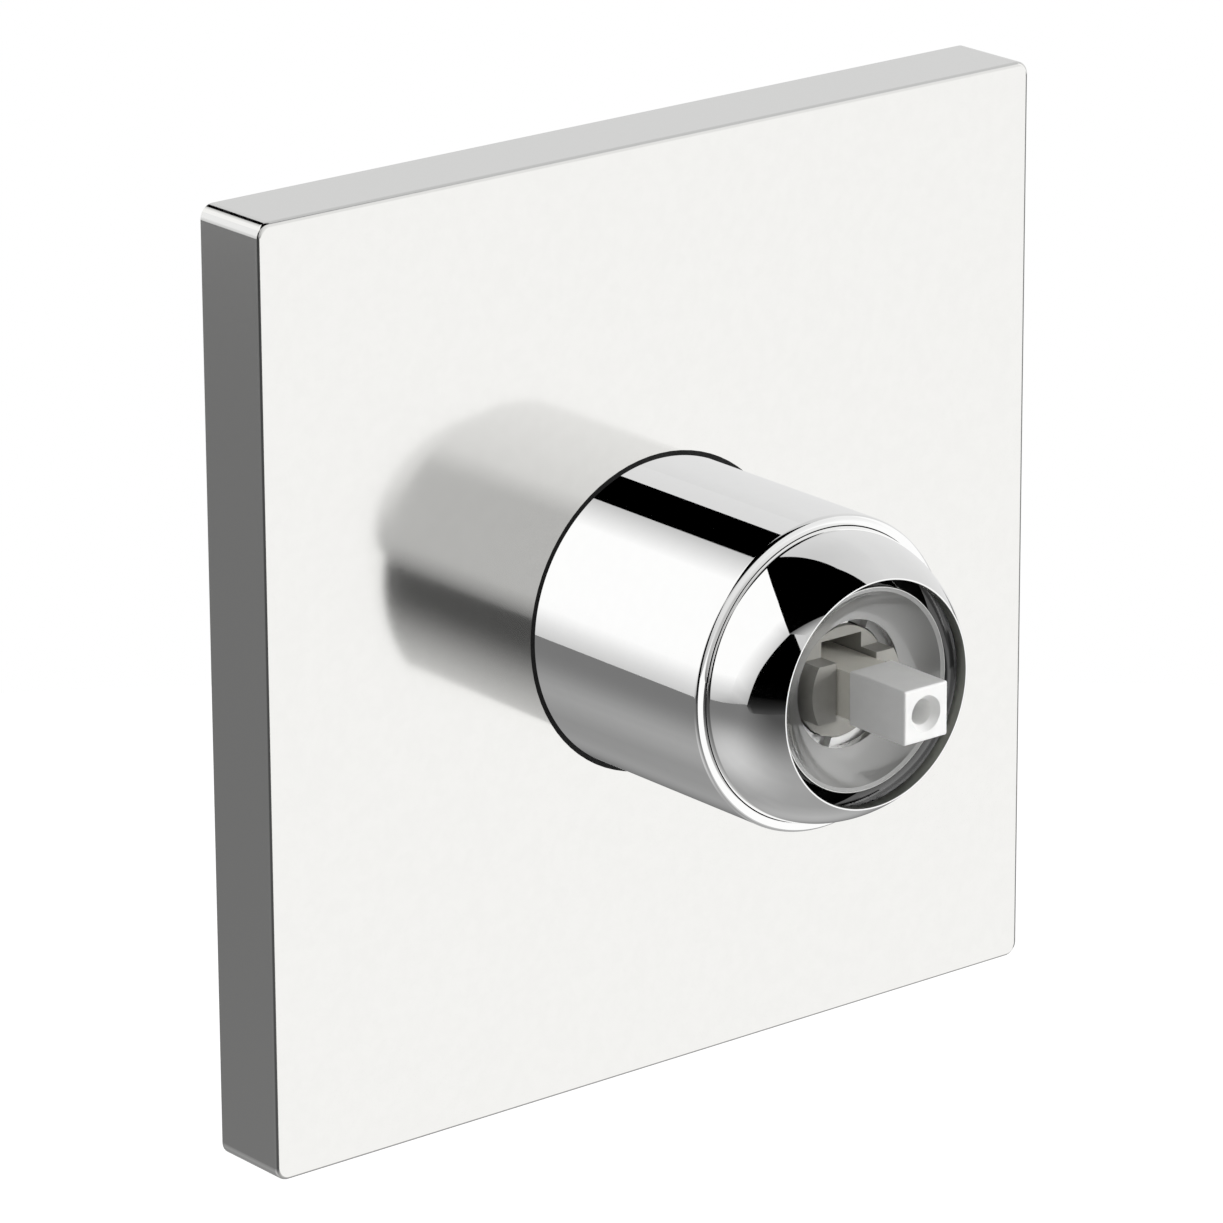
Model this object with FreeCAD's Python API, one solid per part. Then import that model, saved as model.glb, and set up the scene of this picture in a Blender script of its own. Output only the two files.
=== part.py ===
"""Trim set and valve of a concealed single-lever bath mixer, as separate pieces in millimetres.

Origin: the centre of the cover plate on the finished wall. +Z is up, -Y is out into the room.
"""
import FreeCAD, Part
import math
import os

from FreeCAD import Vector

# Cover plate
plate_side = 170.0
plate_depth = 16.0
plate_face_wall = 2.5
plate_rim_wall = 2.5
plate_corner_r = 2.5
plate_edge_r = 0.8
peg_r = 2.5
peg_end_gap = 0.6

# Wall seal, glued inside the plate's rim
wall_seal_width = 3.5
wall_seal_depth = 4.0

# Stem and its swing
stem_width = 9.62
stem_edge_r = 0.4
stem_proud = 12.5
stem_bore_r = 2.25
stem_bore_depth = 12.0
stem_sink_r = 3.2
stem_sink_depth = 1.25
stem_neck_width = 8.4
stem_neck_front = 5.8
stem_tail_r = 2.0
stem_ball_r = 2.6
swing_deg = 22.0
swing_gap = 1.1
slot_gap = 0.3
slot_side_gap = 0.25
pin_r = 1.5
pin_run_gap = 0.05

# Cartridge, from its centre outwards
hub_web = 0.7
hub_gap = 0.25
guide_flange_width = 2.1
guide_run_gap = 0.3
housing_neck_wall = 1.2
limit_ring_gap = 0.3
limit_ring_width = 3.2
limit_notches = 6
limit_notch_width = 4.4
limit_notch_depth = 1.6
limit_notch_start_deg = 52.5
nut_bore_gap = 0.3
shoulder_width = 3.8
housing_wall = 1.6
disc_edge_gap = 0.5
disc_fit = 0.2
chamber_gap = 0.1

# Cartridge, from the chamber floor outwards
chamber_floor = 10.6
base_flange_depth = 1.6
base_plug_depth = 6.4
fixed_disc_depth = 4.4
disc_film = 0.05
moving_disc_depth = 4.0
mixing_recess_depth = 2.2
slider_depth = 3.3
boss_depth = 2.8
boss_half_width = 8.6
boss_half_height = 5.5
boss_gap = 0.95
lug_thick = 2.1
lug_half_height = 4.5
lug_side_gap = 0.3
lug_end_gap = 0.45
ball_rise = 1.6
socket_gap = 0.4
pivot_rise = 6.5
guide_flange_depth = 9.3
guide_end_gap = 0.2
hub_depth = 4.8
head_depth = 4.0
head_half_height = 5.2
roof_depth = 1.6
shoulder_depth = 1.8
cavity_gap = 0.4
limit_ring_depth = 2.6
lip_gap = 0.8

# Water ports through discs and base
inlet_port_x = 5.0
inlet_port_z = -5.0
inlet_port_r = 2.4
outlet_port_z = 6.5
outlet_port_r = 3.0
mixing_recess_z = 4.0
mixing_recess_r = 6.6
peg_hole_x = 8.0
drive_peg_r = 1.2
drive_peg_depth = 1.2
drive_peg_gap = 0.05
base_seal_width = 1.2
base_seal_depth = 1.4

# Cartridge nut
nut_lip_depth = 1.4
nut_dish_depth = 4.1
nut_dish_bow = 0.6
nut_face_width = 6.8
nut_rim_land = 0.5
nut_rim_chamfer = 0.3
nut_skirt_depth = 9.8
nut_skirt_width = 1.88
nut_slots = 4
nut_slot_width = 4.0
nut_slot_depth = 1.5

# Valve neck
thread_gap = 0.05
thread_run_out = 0.5
neck_wall = 3.45
neck_depth = 8.8
neck_ring_gap = 1.1
collar_back = 4.0
collar_gap = 4.0
neck_ring_section_r = 1.2
neck_ring_fit = 0.02
groove_side_gap = 0.2
cap_ring_back = 3.7
collar_ring_inset = 5.0

# Dome cap and sleeve
dome_wall = 1.6
dome_mouth_gap = 2.15
dome_mouth_recess = 3.4
dome_lip = 0.25
dome_lip_r = 0.12
dome_skirt_depth = 12.0
sleeve_fit = 0.1
sleeve_wall = 1.7
sleeve_lip = 3.5
sleeve_edge_r = 0.45

# Seal between sleeve and cover plate
sleeve_seal_gap = 0.05
sleeve_seal_wall = 0.9
sleeve_seal_proud = 0.05
sleeve_seal_flange_width = 3.4
sleeve_seal_flange_depth = 2.0

# Plate carrier with its grommets and screws
carrier_rim = 2.0
carrier_web = 1.5
carrier_depth = 3.0
carrier_neck_gap = 1.5
carrier_collar_wall = 2.0
carrier_collar_depth = 3.0
carrier_collar_gap = 0.3
grommet_wall = 1.1
grommet_flange_width = 1.2
grommet_flange_depth = 0.8
grommet_end_gap = 0.2
grommet_peg_gap = 0.05
screw_circle_r = 42.0
carrier_screw_r = 2.0
carrier_screw_head_r = 3.8
carrier_screw_head_depth = 2.4
fixing_screw_r = 2.4
fixing_shank_r = 2.0
fixing_screw_head_r = 4.6
fixing_screw_head_depth = 2.8
fixing_screw_reach = 22.0
fixing_point_depth = 3.0
fixing_point_r = 0.7
fixing_hole_gap = 0.2
screw_hole_gap = 0.1
screw_head_gap = 0.6
screw_head_edge_r = 0.9
recess_arm_width = 1.3
recess_edge_gap = 1.8
recess_depth = 1.4
screw_count = 4
diagonal_deg = 45.0

# Valve body behind the wall
flange_rim = 3.4
flange_depth = 4.0
drum_r = 27.0
drum_tail = 16.0
drum_chamfer = 2.5
port_axis_depth = 24.0
port_reach = 48.0
port_hex_flats = 28.0
port_hex_depth = 11.0
port_neck_r = 12.5
port_thread_r = 9.3
port_thread_depth = 14.0
port_mouth_chamfer = 1.0
check_bore_r = 7.5
check_bore_floor = 19.0
waterway_r = 4.5
waterway_end = 10.0
inlet_way_x = 13.0

# Plug in the spare top port
plug_seal_depth = 1.6
plug_seal_wall = 1.7
plug_head_depth = 4.0
plug_head_r = 12.4
plug_head_chamfer = 0.6
plug_thread_depth = 11.0
plug_thread_gap = 0.05
plug_socket_flats = 10.0
plug_socket_depth = 7.0

# Check valves in the two inlets
check_fit = 0.1
check_depth = 13.0
check_wall = 1.3
seat_depth = 2.4
seat_hole_r = 4.4
seat_gap = 0.1
spider_depth = 1.5
spider_hub_r = 2.4
spider_arm_width = 1.6
spider_arms = 3
poppet_r = 5.3
poppet_depth = 1.6
poppet_stem_r = 1.1
poppet_guide_gap = 0.1
poppet_stem_inset = 0.5
spring_r = 2.9
spring_wire_r = 0.3
spring_turns = 6
spring_end_gap = 0.05
check_seal_section_r = 0.5
check_seal_fit = 0.02
strainer_depth = 1.6
strainer_hole_r = 0.75
strainer_rings = 2
strainer_ring_pitch = 2.4
strainer_ring_holes = 6

# Drawing aids
edge_land = 0.1
cut_past = 1.0
match_tolerance = 1e-4
hex_sides = 6
arcs_per_turn = 4
gap_points_per_turn = 48

# Places along the axis, counted outwards from the plate's face
base_top = chamber_floor + base_flange_depth + base_plug_depth
fixed_disc_top = base_top + fixed_disc_depth
moving_disc_bottom = fixed_disc_top + disc_film
moving_disc_top = moving_disc_bottom + moving_disc_depth
slider_top = moving_disc_top + slider_depth
boss_top = slider_top + boss_depth
guide_bottom = boss_top + boss_gap
pivot_ahead = guide_bottom + pivot_rise
ball_ahead = slider_top + ball_rise
flange_top = guide_bottom + guide_flange_depth
hub_top = flange_top + hub_depth
head_top = hub_top + head_depth
roof_bottom = flange_top + guide_end_gap
roof_top = roof_bottom + roof_depth
cavity_top = guide_bottom + cavity_gap
shoulder_top = cavity_top + shoulder_depth
limit_ring_top = roof_top + limit_ring_depth
lip_bottom = limit_ring_top + lip_gap
lip_top = lip_bottom + nut_lip_depth
nut_rim = lip_top + nut_dish_depth
nut_skirt_top = shoulder_top + nut_skirt_depth
dome_mouth = nut_rim + dome_mouth_recess
stem_end = dome_mouth + stem_proud
stem_neck_top = lip_top + stem_neck_front
neck_top = shoulder_top + neck_depth

# Swing of the stem about its pin
swing = math.radians(swing_deg)
stem_half = stem_width / 2
stem_neck_half = stem_neck_width / 2
finger_length = pivot_ahead - ball_ahead
disc_travel = finger_length * swing

# Radii, each built on the one inside it
lip_reach = (lip_top - pivot_ahead) * math.tan(swing) + stem_half / math.cos(swing)
nut_hole_r = math.hypot(lip_reach, stem_half) + swing_gap
slot_half_width = stem_neck_half + slot_side_gap
slot_top = (hub_top - pivot_ahead) * math.tan(swing) + stem_neck_half / math.cos(swing) + slot_gap
neck_heel = stem_neck_half - stem_tail_r + pin_r
slot_bottom = stem_neck_half * math.cos(swing) + neck_heel * math.sin(swing) + slot_gap
hub_r = math.hypot(slot_top, slot_half_width) + hub_web
guide_flange_r = hub_r + guide_flange_width
housing_neck_bore_r = guide_flange_r + guide_run_gap
housing_neck_r = housing_neck_bore_r + housing_neck_wall
limit_ring_bore_r = hub_r + limit_ring_gap
limit_ring_r = limit_ring_bore_r + limit_ring_width
nut_bore_r = max(housing_neck_r, limit_ring_r) + nut_bore_gap
cartridge_r = nut_bore_r + shoulder_width
cavity_r = cartridge_r - housing_wall
fixed_disc_r = cavity_r - disc_fit
moving_disc_r = cavity_r - disc_travel - disc_edge_gap
chamber_r = cartridge_r + chamber_gap
nut_rim_r = nut_hole_r + nut_face_width
nut_skirt_r = max(cartridge_r, nut_rim_r) + nut_skirt_width
neck_bore_r = nut_skirt_r + thread_gap
neck_r = neck_bore_r + neck_wall
dome_bore_r = neck_r + neck_ring_gap
dome_r = dome_bore_r + dome_wall
dome_mouth_r = nut_rim_r + dome_mouth_gap
dome_centre = dome_mouth - math.sqrt(dome_r**2 - dome_mouth_r**2)
dome_skirt_end = dome_centre - dome_skirt_depth
sleeve_bore_r = dome_r + sleeve_fit
sleeve_r = sleeve_bore_r + sleeve_wall
sleeve_front = dome_centre + sleeve_lip
collar_r = sleeve_bore_r - neck_ring_gap
collar_front = dome_skirt_end - collar_gap
sleeve_seal_bore_r = sleeve_r + sleeve_seal_gap
plate_hole_r = sleeve_seal_bore_r + sleeve_seal_wall
carrier_hole_r = neck_r + carrier_neck_gap
carrier_collar_bore_r = sleeve_r + carrier_collar_gap
grommet_bore_r = peg_r + grommet_peg_gap
grommet_r = grommet_bore_r + grommet_wall
screw_head_hole_r = fixing_screw_head_r + screw_head_gap
peg_circle_r = screw_circle_r + screw_head_hole_r + carrier_web + grommet_r
carrier_r = peg_circle_r + grommet_r + carrier_rim
flange_r = screw_circle_r + fixing_screw_head_r + flange_rim

# Places behind the plate's face, as distances from the wall
face_back = plate_depth - plate_face_wall
carrier_back = flange_depth
carrier_front = carrier_back + carrier_depth

drum_depth = port_axis_depth + drum_tail

# Check valves, as distances from the valve's axis
check_r = check_bore_r - check_fit
check_end = check_bore_floor + check_depth
seat_start = check_end - seat_depth
poppet_front = seat_start - seat_gap
poppet_back = poppet_front - poppet_depth
spider_front = check_bore_floor + spider_depth
check_seal_place = seat_start + seat_depth / 2


def y_ahead(distance):
    """The Y of a place that lies this far in front of the plate's face."""
    return -plate_depth - distance


def rod(radius, y_from, y_to, x=0.0, z=0.0):
    """A round bar along Y."""
    low, high = sorted((y_from, y_to))
    return Part.makeCylinder(radius, high - low, Vector(x, low, z), Vector(0, 1, 0))


def ring(outer_r, inner_r, y_from, y_to, x=0.0, z=0.0):
    """A plain tube along Y."""
    return rod(outer_r, y_from, y_to, x, z).cut(rod(inner_r, y_from, y_to, x, z))


def bar(radius, start, end):
    """A round bar from one point to another."""
    way = end - start
    return Part.makeCylinder(radius, way.Length, start, way)


def block(x_from, x_to, y_from, y_to, z_from, z_to):
    """A square-edged block between two corners."""
    low = Vector(min(x_from, x_to), min(y_from, y_to), min(z_from, z_to))
    return Part.makeBox(abs(x_to - x_from), abs(y_to - y_from), abs(z_to - z_from), low)


def prism(flats, sides, start, way):
    """A bar with this many equal flats, along a vector from its start."""
    corner_r = flats / 2 / math.cos(math.pi / sides)
    across = Vector(0, 0, 1) if abs(way.z) < abs(way.x) + abs(way.y) else Vector(1, 0, 0)
    beside = way.cross(across).normalize()
    points = []
    for i in range(sides + 1):
        turn = 2 * math.pi * (i + 0.5) / sides
        points.append(start + across * corner_r * math.cos(turn) + beside * corner_r * math.sin(turn))
    return Part.Face(Part.makePolygon(points)).extrude(way)


def turned(profile):
    """A solid turned about the Y axis from (radius, y) points."""
    points = [Vector(r, y, 0) for r, y in profile]
    face = Part.Face(Part.makePolygon(points + points[:1]))
    return face.revolve(Vector(0, 0, 0), Vector(0, 1, 0), 360)


def around(radius, count, first_deg=0.0):
    """Evenly spaced (x, z) places on a circle about the axis."""
    for i in range(count):
        turn = math.radians(first_deg + 360.0 * i / count)
        yield radius * math.cos(turn), radius * math.sin(turn)


def circle_edges(shape, radius, y):
    """The round edges of this radius about the axis in the plane at y."""
    found = []
    for edge in shape.Edges:
        curve = edge.Curve
        if isinstance(curve, Part.Circle) and abs(curve.Radius - radius) < match_tolerance:
            if abs(curve.Center.y - y) < match_tolerance:
                found.append(edge)
    return found


def fuse_all(shapes):
    """One clean solid from overlapping shapes."""
    return shapes[0].multiFuse(shapes[1:]).removeSplitter()


def save(name, *solids):
    """Writes one node, of one solid or of a group of equal pieces."""
    shape = solids[0] if len(solids) == 1 else Part.makeCompound(list(solids))
    for solid in shape.Solids:
        assert solid.isValid(), name
    shape.exportStep("parts/%s.step" % name)


def helix_point(turn, pitch):
    """Point and direction on the spring's centre line after some turns, along +X."""
    angle = 2 * math.pi * turn
    point = Vector(pitch * turn, spring_r * math.cos(angle), spring_r * math.sin(angle))
    way = Vector(pitch / (2 * math.pi), -spring_r * math.sin(angle), spring_r * math.cos(angle))
    return point, way.normalize()


def tangent_arc(start, way, end):
    """The arc that leaves start along way and reaches end."""
    chord = end - start
    side = chord - way * chord.dot(way)
    side.normalize()
    radius = chord.Length**2 / (2 * chord.dot(side))
    centre = start + side * radius
    middle = (start + end) * 0.5 - centre
    return Part.Arc(start, centre + middle.normalize() * radius, end).toShape()


def biarc(start, start_way, end, end_way):
    """Two tangent arcs that join two points with given directions."""
    chord = end - start
    both = start_way + end_way
    bend = 2 * (1 - start_way.dot(end_way))
    run = chord.dot(both)
    reach = (math.sqrt(run**2 + bend * chord.Length**2) - run) / bend
    middle = (start + end + (start_way - end_way) * reach) * 0.5
    back = tangent_arc(end, end_way * -1, middle)
    return [tangent_arc(start, start_way, middle), Part.Arc(
        middle, back.valueAt((back.FirstParameter + back.LastParameter) / 2), end).toShape()]


def make_cover_plate():
    """Square pressed cover, open towards the wall, with four pegs on its inside."""
    half = plate_side / 2
    shell = block(-half, half, -plate_depth, 0, -half, half)
    corners = [e for e in shell.Edges if e.BoundBox.YLength > plate_depth / 2]
    shell = shell.makeFillet(plate_corner_r, corners)
    front = [e for e in shell.Edges if e.BoundBox.YMax < match_tolerance - plate_depth]
    shell = shell.makeFillet(min(plate_edge_r, plate_face_wall - edge_land), front)
    inner = half - plate_rim_wall
    shell = shell.cut(block(-inner, inner, -face_back, cut_past, -inner, inner))
    shell = shell.cut(rod(plate_hole_r, -plate_depth - cut_past, 0))
    pegs = [rod(peg_r, -face_back - plate_face_wall / 2, -carrier_back - peg_end_gap, x, z)
            for x, z in around(peg_circle_r, screw_count, diagonal_deg)]
    save("cover_plate", fuse_all([shell] + pegs))


def make_wall_seal():
    """Square foam strip inside the rim, flush with the wall."""
    outer = plate_side / 2 - plate_rim_wall
    inner = outer - wall_seal_width
    strip = block(-outer, outer, -wall_seal_depth, 0, -outer, outer)
    save("wall_seal", strip.cut(block(-inner, inner, -wall_seal_depth, 0, -inner, inner)))


def make_sleeve_seal():
    """Rubber ring that closes the gap between the sleeve and the plate."""
    flange_front = -face_back
    flange_back = flange_front + sleeve_seal_flange_depth
    lip = ring(plate_hole_r, sleeve_seal_bore_r, y_ahead(sleeve_seal_proud), flange_back)
    flange = ring(plate_hole_r + sleeve_seal_flange_width, sleeve_seal_bore_r, flange_front, flange_back)
    save("sleeve_seal", fuse_all([lip, flange]))


def make_sleeve():
    """Turned tube from the plate to the dome, with a rounded front edge."""
    tube = ring(sleeve_r, sleeve_bore_r, y_ahead(sleeve_front), -carrier_front)
    edge = circle_edges(tube, sleeve_r, y_ahead(sleeve_front))
    save("sleeve", tube.makeFillet(min(sleeve_edge_r, sleeve_wall - edge_land), edge))


def axis_arc(radius, start, end):
    """The arc between two points of a ball about the dome's centre."""
    centre = Vector(0, y_ahead(dome_centre), 0)
    middle = (start + end) * 0.5 - centre
    return Part.Arc(start, centre + middle.normalize() * radius, end).toShape()


def make_dome_cap():
    """Ball-shaped cap over the cartridge with a round mouth for the lever."""
    hole_r = dome_mouth_r - dome_lip
    hole_back = dome_centre + math.sqrt(dome_bore_r**2 - hole_r**2)
    mouth = Vector(dome_mouth_r, y_ahead(dome_mouth), 0)
    hole_front = Vector(hole_r, y_ahead(dome_mouth), 0)
    hole_inside = Vector(hole_r, y_ahead(hole_back), 0)
    outer_side = Vector(dome_r, y_ahead(dome_centre), 0)
    inner_side = Vector(dome_bore_r, y_ahead(dome_centre), 0)
    outer_end = Vector(dome_r, y_ahead(dome_skirt_end), 0)
    inner_end = Vector(dome_bore_r, y_ahead(dome_skirt_end), 0)
    profile = Part.Wire([
        Part.makeLine(hole_front, mouth),
        axis_arc(dome_r, mouth, outer_side),
        Part.makeLine(outer_side, outer_end),
        Part.makeLine(outer_end, inner_end),
        Part.makeLine(inner_end, inner_side),
        axis_arc(dome_bore_r, inner_side, hole_inside),
        Part.makeLine(hole_inside, hole_front),
    ])
    cap = Part.Face(profile).revolve(Vector(0, 0, 0), Vector(0, 1, 0), 360)
    rim = circle_edges(cap, dome_mouth_r, y_ahead(dome_mouth))
    save("dome_cap", cap.makeFillet(min(dome_lip_r, dome_lip - edge_land), rim))


def neck_ring_places():
    """(ring centre from the face, radius it seals against) for the three rings on the valve neck."""
    yield dome_skirt_end + cap_ring_back, dome_bore_r
    yield collar_front - collar_ring_inset, sleeve_bore_r
    yield collar_back + collar_ring_inset, sleeve_bore_r


def neck_groove(ahead, seal_r):
    """The cutter for one ring groove in the valve neck."""
    half = neck_ring_section_r + groove_side_gap
    floor_r = seal_r - 2 * neck_ring_section_r
    return ring(seal_r, floor_r - neck_ring_fit, y_ahead(ahead + half), y_ahead(ahead - half))


def make_neck_rings():
    """Rubber rings that hold the dome cap and the sleeve on the valve neck."""
    rings = []
    for ahead, seal_r in neck_ring_places():
        section_r = neck_ring_section_r - neck_ring_fit / 2
        middle_r = seal_r - section_r - neck_ring_fit
        place = Vector(0, y_ahead(ahead), 0)
        rings.append(Part.makeTorus(middle_r, section_r, place, Vector(0, 1, 0)))
    save("neck_o_rings", *rings)


def make_plate_carrier():
    """Moulded disc screwed to the valve flange, which the plate pushes onto."""
    disc = rod(carrier_r, -carrier_front, -carrier_back)
    collar_r_out = carrier_collar_bore_r + carrier_collar_wall
    collar = ring(collar_r_out, carrier_collar_bore_r, -carrier_front - carrier_collar_depth, -carrier_back)
    cutters = [rod(carrier_hole_r, -carrier_front, -carrier_back)]
    for x, z in around(screw_circle_r, screw_count):
        cutters.append(rod(carrier_screw_r + screw_hole_gap, -carrier_front, -carrier_back, x, z))
    for x, z in around(screw_circle_r, screw_count, diagonal_deg):
        cutters.append(rod(screw_head_hole_r, -carrier_front, -carrier_back, x, z))
    for x, z in around(peg_circle_r, screw_count, diagonal_deg):
        cutters.append(rod(grommet_r, -carrier_front, -carrier_back, x, z))
    save("plate_carrier", fuse_all([disc, collar]).cut(Part.makeCompound(cutters)))


def make_carrier_grommets():
    """Flanged rubber bushes in the carrier that grip the plate's pegs."""
    front = -carrier_front - grommet_flange_depth
    back = -carrier_back - grommet_end_gap
    grommets = []
    for x, z in around(peg_circle_r, screw_count, diagonal_deg):
        tube = ring(grommet_r, grommet_bore_r, front, back, x, z)
        flange = ring(grommet_r + grommet_flange_width, grommet_bore_r, front, -carrier_front, x, z)
        grommets.append(fuse_all([tube, flange]))
    save("carrier_grommets", *grommets)


def cross_recess(y_front, x, z, head_r):
    """The cutter for a cross slot in a screw head."""
    arm = head_r - recess_edge_gap
    half = recess_arm_width / 2
    level = block(x - arm, x + arm, y_front, y_front + recess_depth, z - half, z + half)
    upright = block(x - half, x + half, y_front, y_front + recess_depth, z - arm, z + arm)
    return level.fuse(upright)


def pan_head(y_seat, depth, radius, x, z):
    """A round screw head with an eased edge and a cross slot."""
    head = rod(radius, y_seat - depth, y_seat, x, z)
    rim = circle_edges(head, radius, y_seat - depth)
    head = head.makeFillet(min(screw_head_edge_r, depth - edge_land), rim)
    return head.cut(cross_recess(y_seat - depth, x, z, radius))


def make_carrier_screws():
    """Screws that hold the carrier on the valve flange."""
    screws = []
    for x, z in around(screw_circle_r, screw_count):
        head = pan_head(-carrier_front, carrier_screw_head_depth, carrier_screw_head_r, x, z)
        screws.append(fuse_all([head, rod(carrier_screw_r, -carrier_front, 0, x, z)]))
    save("carrier_screws", *screws)


def make_fixing_screws():
    """Screws through the valve flange into the wall."""
    screws = []
    for x, z in around(screw_circle_r, screw_count, diagonal_deg):
        head = pan_head(-flange_depth, fixing_screw_head_depth, fixing_screw_head_r, x, z)
        shank = rod(fixing_shank_r, -flange_depth, 0, x, z)
        thread = rod(fixing_screw_r, 0, fixing_screw_reach, x, z)
        point = Part.makeCone(fixing_screw_r, fixing_point_r, fixing_point_depth,
                              Vector(x, fixing_screw_reach, z), Vector(0, 1, 0))
        screws.append(fuse_all([head, shank, thread, point]))
    save("fixing_screws", *screws)


def port_ways():
    """Outward directions of the ports: hot, cold, outlet and spare."""
    return Vector(-1, 0, 0), Vector(1, 0, 0), Vector(0, 0, -1), Vector(0, 0, 1)


def port_point(way, distance):
    """A place on a port's axis, this far from the valve's axis."""
    return Vector(0, port_axis_depth, 0) + way * distance


def port_body(way):
    """The outside of one port: a round neck with a hexagon at its end."""
    neck = bar(port_neck_r, port_point(way, 0), port_point(way, port_reach))
    hex_start = port_point(way, port_reach - port_hex_depth)
    hexagon = prism(port_hex_flats, hex_sides, hex_start, way * port_hex_depth)
    return neck.fuse(hexagon)


def port_thread(way):
    """The cutter for one threaded mouth with its lead-in."""
    mouth = port_point(way, port_reach)
    hole = bar(port_thread_r, port_point(way, port_reach - port_thread_depth), mouth)
    lead = Part.makeCone(port_thread_r, port_thread_r + port_mouth_chamfer, port_mouth_chamfer,
                         port_point(way, port_reach - port_mouth_chamfer), way)
    return hole.fuse(lead)


def make_valve_body():
    """Cast brass valve: wall flange, neck with the cartridge chamber, drum and four ports."""
    hot, cold, outlet, spare = port_ways()
    drum = rod(drum_r, 0, drum_depth)
    drum = drum.makeChamfer(drum_chamfer, circle_edges(drum, drum_r, drum_depth))
    solids = [
        rod(flange_r, -flange_depth, 0),
        rod(neck_r, y_ahead(neck_top), 0),
        rod(collar_r, y_ahead(collar_front), y_ahead(collar_back)),
        drum,
    ]
    solids += [port_body(way) for way in port_ways()]
    body = fuse_all(solids)

    cutters = [
        rod(chamber_r, y_ahead(neck_top), y_ahead(chamber_floor)),
        rod(neck_bore_r, y_ahead(neck_top), y_ahead(shoulder_top - thread_run_out)),
        bar(waterway_r, port_point(outlet, port_reach), port_point(spare, port_reach)),
        bar(outlet_port_r, Vector(0, y_ahead(chamber_floor), outlet_port_z),
            Vector(0, port_axis_depth, outlet_port_z)),
    ]
    cutters += [port_thread(way) for way in port_ways()]
    for way in (hot, cold):
        cutters.append(bar(check_bore_r, port_point(way, check_bore_floor), port_point(way, port_reach)))
        cutters.append(bar(waterway_r, port_point(way, waterway_end), port_point(way, port_reach)))
        floor_port = Vector(way.x * inlet_port_x, y_ahead(chamber_floor), inlet_port_z)
        cutters.append(bar(inlet_port_r, floor_port, port_point(way, inlet_way_x)))
    cutters += [neck_groove(ahead, seal_r) for ahead, seal_r in neck_ring_places()]
    for x, z in around(screw_circle_r, screw_count):
        cutters.append(rod(carrier_screw_r + thread_gap, -flange_depth, 0, x, z))
    for x, z in around(screw_circle_r, screw_count, diagonal_deg):
        cutters.append(rod(fixing_screw_r + fixing_hole_gap, -flange_depth, 0, x, z))
    save("valve_body", body.cut(cutters))


def make_cartridge_nut():
    """Cap nut that clamps the cartridge, with a polished dish round the stem."""
    dish_r = nut_rim_r - nut_rim_land - nut_rim_chamfer
    corners = [
        (dish_r, nut_rim),
        (nut_rim_r - nut_rim_chamfer, nut_rim),
        (nut_rim_r, nut_rim - nut_rim_chamfer),
        (nut_rim_r, nut_skirt_top),
        (nut_skirt_r, nut_skirt_top),
        (nut_skirt_r, shoulder_top),
        (nut_bore_r, shoulder_top),
        (nut_bore_r, lip_bottom),
        (nut_hole_r, lip_bottom),
        (nut_hole_r, lip_top),
    ]
    points = [Vector(r, y_ahead(ahead), 0) for r, ahead in corners]
    across = points[-1] - points[0]
    hollow = Vector(across.y, -across.x, 0).normalize()
    dish_middle = (points[0] + points[-1]) * 0.5 + hollow * nut_dish_bow
    dish = Part.Arc(points[-1], dish_middle, points[0]).toShape()
    profile = Part.Wire(Part.makePolygon(points).Edges + [dish])
    nut = Part.Face(profile).revolve(Vector(0, 0, 0), Vector(0, 1, 0), 360)
    half = nut_slot_width / 2
    for i in range(nut_slots):
        slot = block(nut_rim_r, nut_skirt_r + cut_past,
                     y_ahead(nut_skirt_top), y_ahead(nut_skirt_top - nut_slot_depth), -half, half)
        slot.rotate(Vector(0, 0, 0), Vector(0, 1, 0), diagonal_deg + 360.0 * i / nut_slots)
        nut = nut.cut(slot)
    save("cartridge_nut", nut)


def make_limit_ring():
    """Notched ring that sets how far the lever may turn towards hot."""
    limit = ring(limit_ring_r, limit_ring_bore_r, y_ahead(limit_ring_top), y_ahead(roof_top))
    half = limit_notch_width / 2
    for i in range(limit_notches):
        notch = block(0, limit_ring_r + cut_past,
                      y_ahead(limit_ring_top), y_ahead(limit_ring_top - limit_notch_depth), -half, half)
        notch.rotate(Vector(0, 0, 0), Vector(0, 1, 0), limit_notch_start_deg + 360.0 * i / limit_notches)
        limit = limit.cut(notch)
    save("limit_ring", limit)


def make_cartridge_housing():
    """Moulded cup of the cartridge, with a narrower neck for the lever guide."""
    profile = [
        (cavity_r, y_ahead(chamber_floor + base_flange_depth)),
        (cartridge_r, y_ahead(chamber_floor + base_flange_depth)),
        (cartridge_r, y_ahead(shoulder_top)),
        (housing_neck_r, y_ahead(shoulder_top)),
        (housing_neck_r, y_ahead(roof_top)),
        (hub_r + hub_gap, y_ahead(roof_top)),
        (hub_r + hub_gap, y_ahead(roof_bottom)),
        (housing_neck_bore_r, y_ahead(roof_bottom)),
        (housing_neck_bore_r, y_ahead(cavity_top)),
        (cavity_r, y_ahead(cavity_top)),
    ]
    save("cartridge_housing", turned(profile))


def port_places():
    """(x, z, radius) of the hot, cold and mixed ports."""
    return ((-inlet_port_x, inlet_port_z, inlet_port_r), (inlet_port_x, inlet_port_z, inlet_port_r),
            (0.0, outlet_port_z, outlet_port_r))


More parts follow.
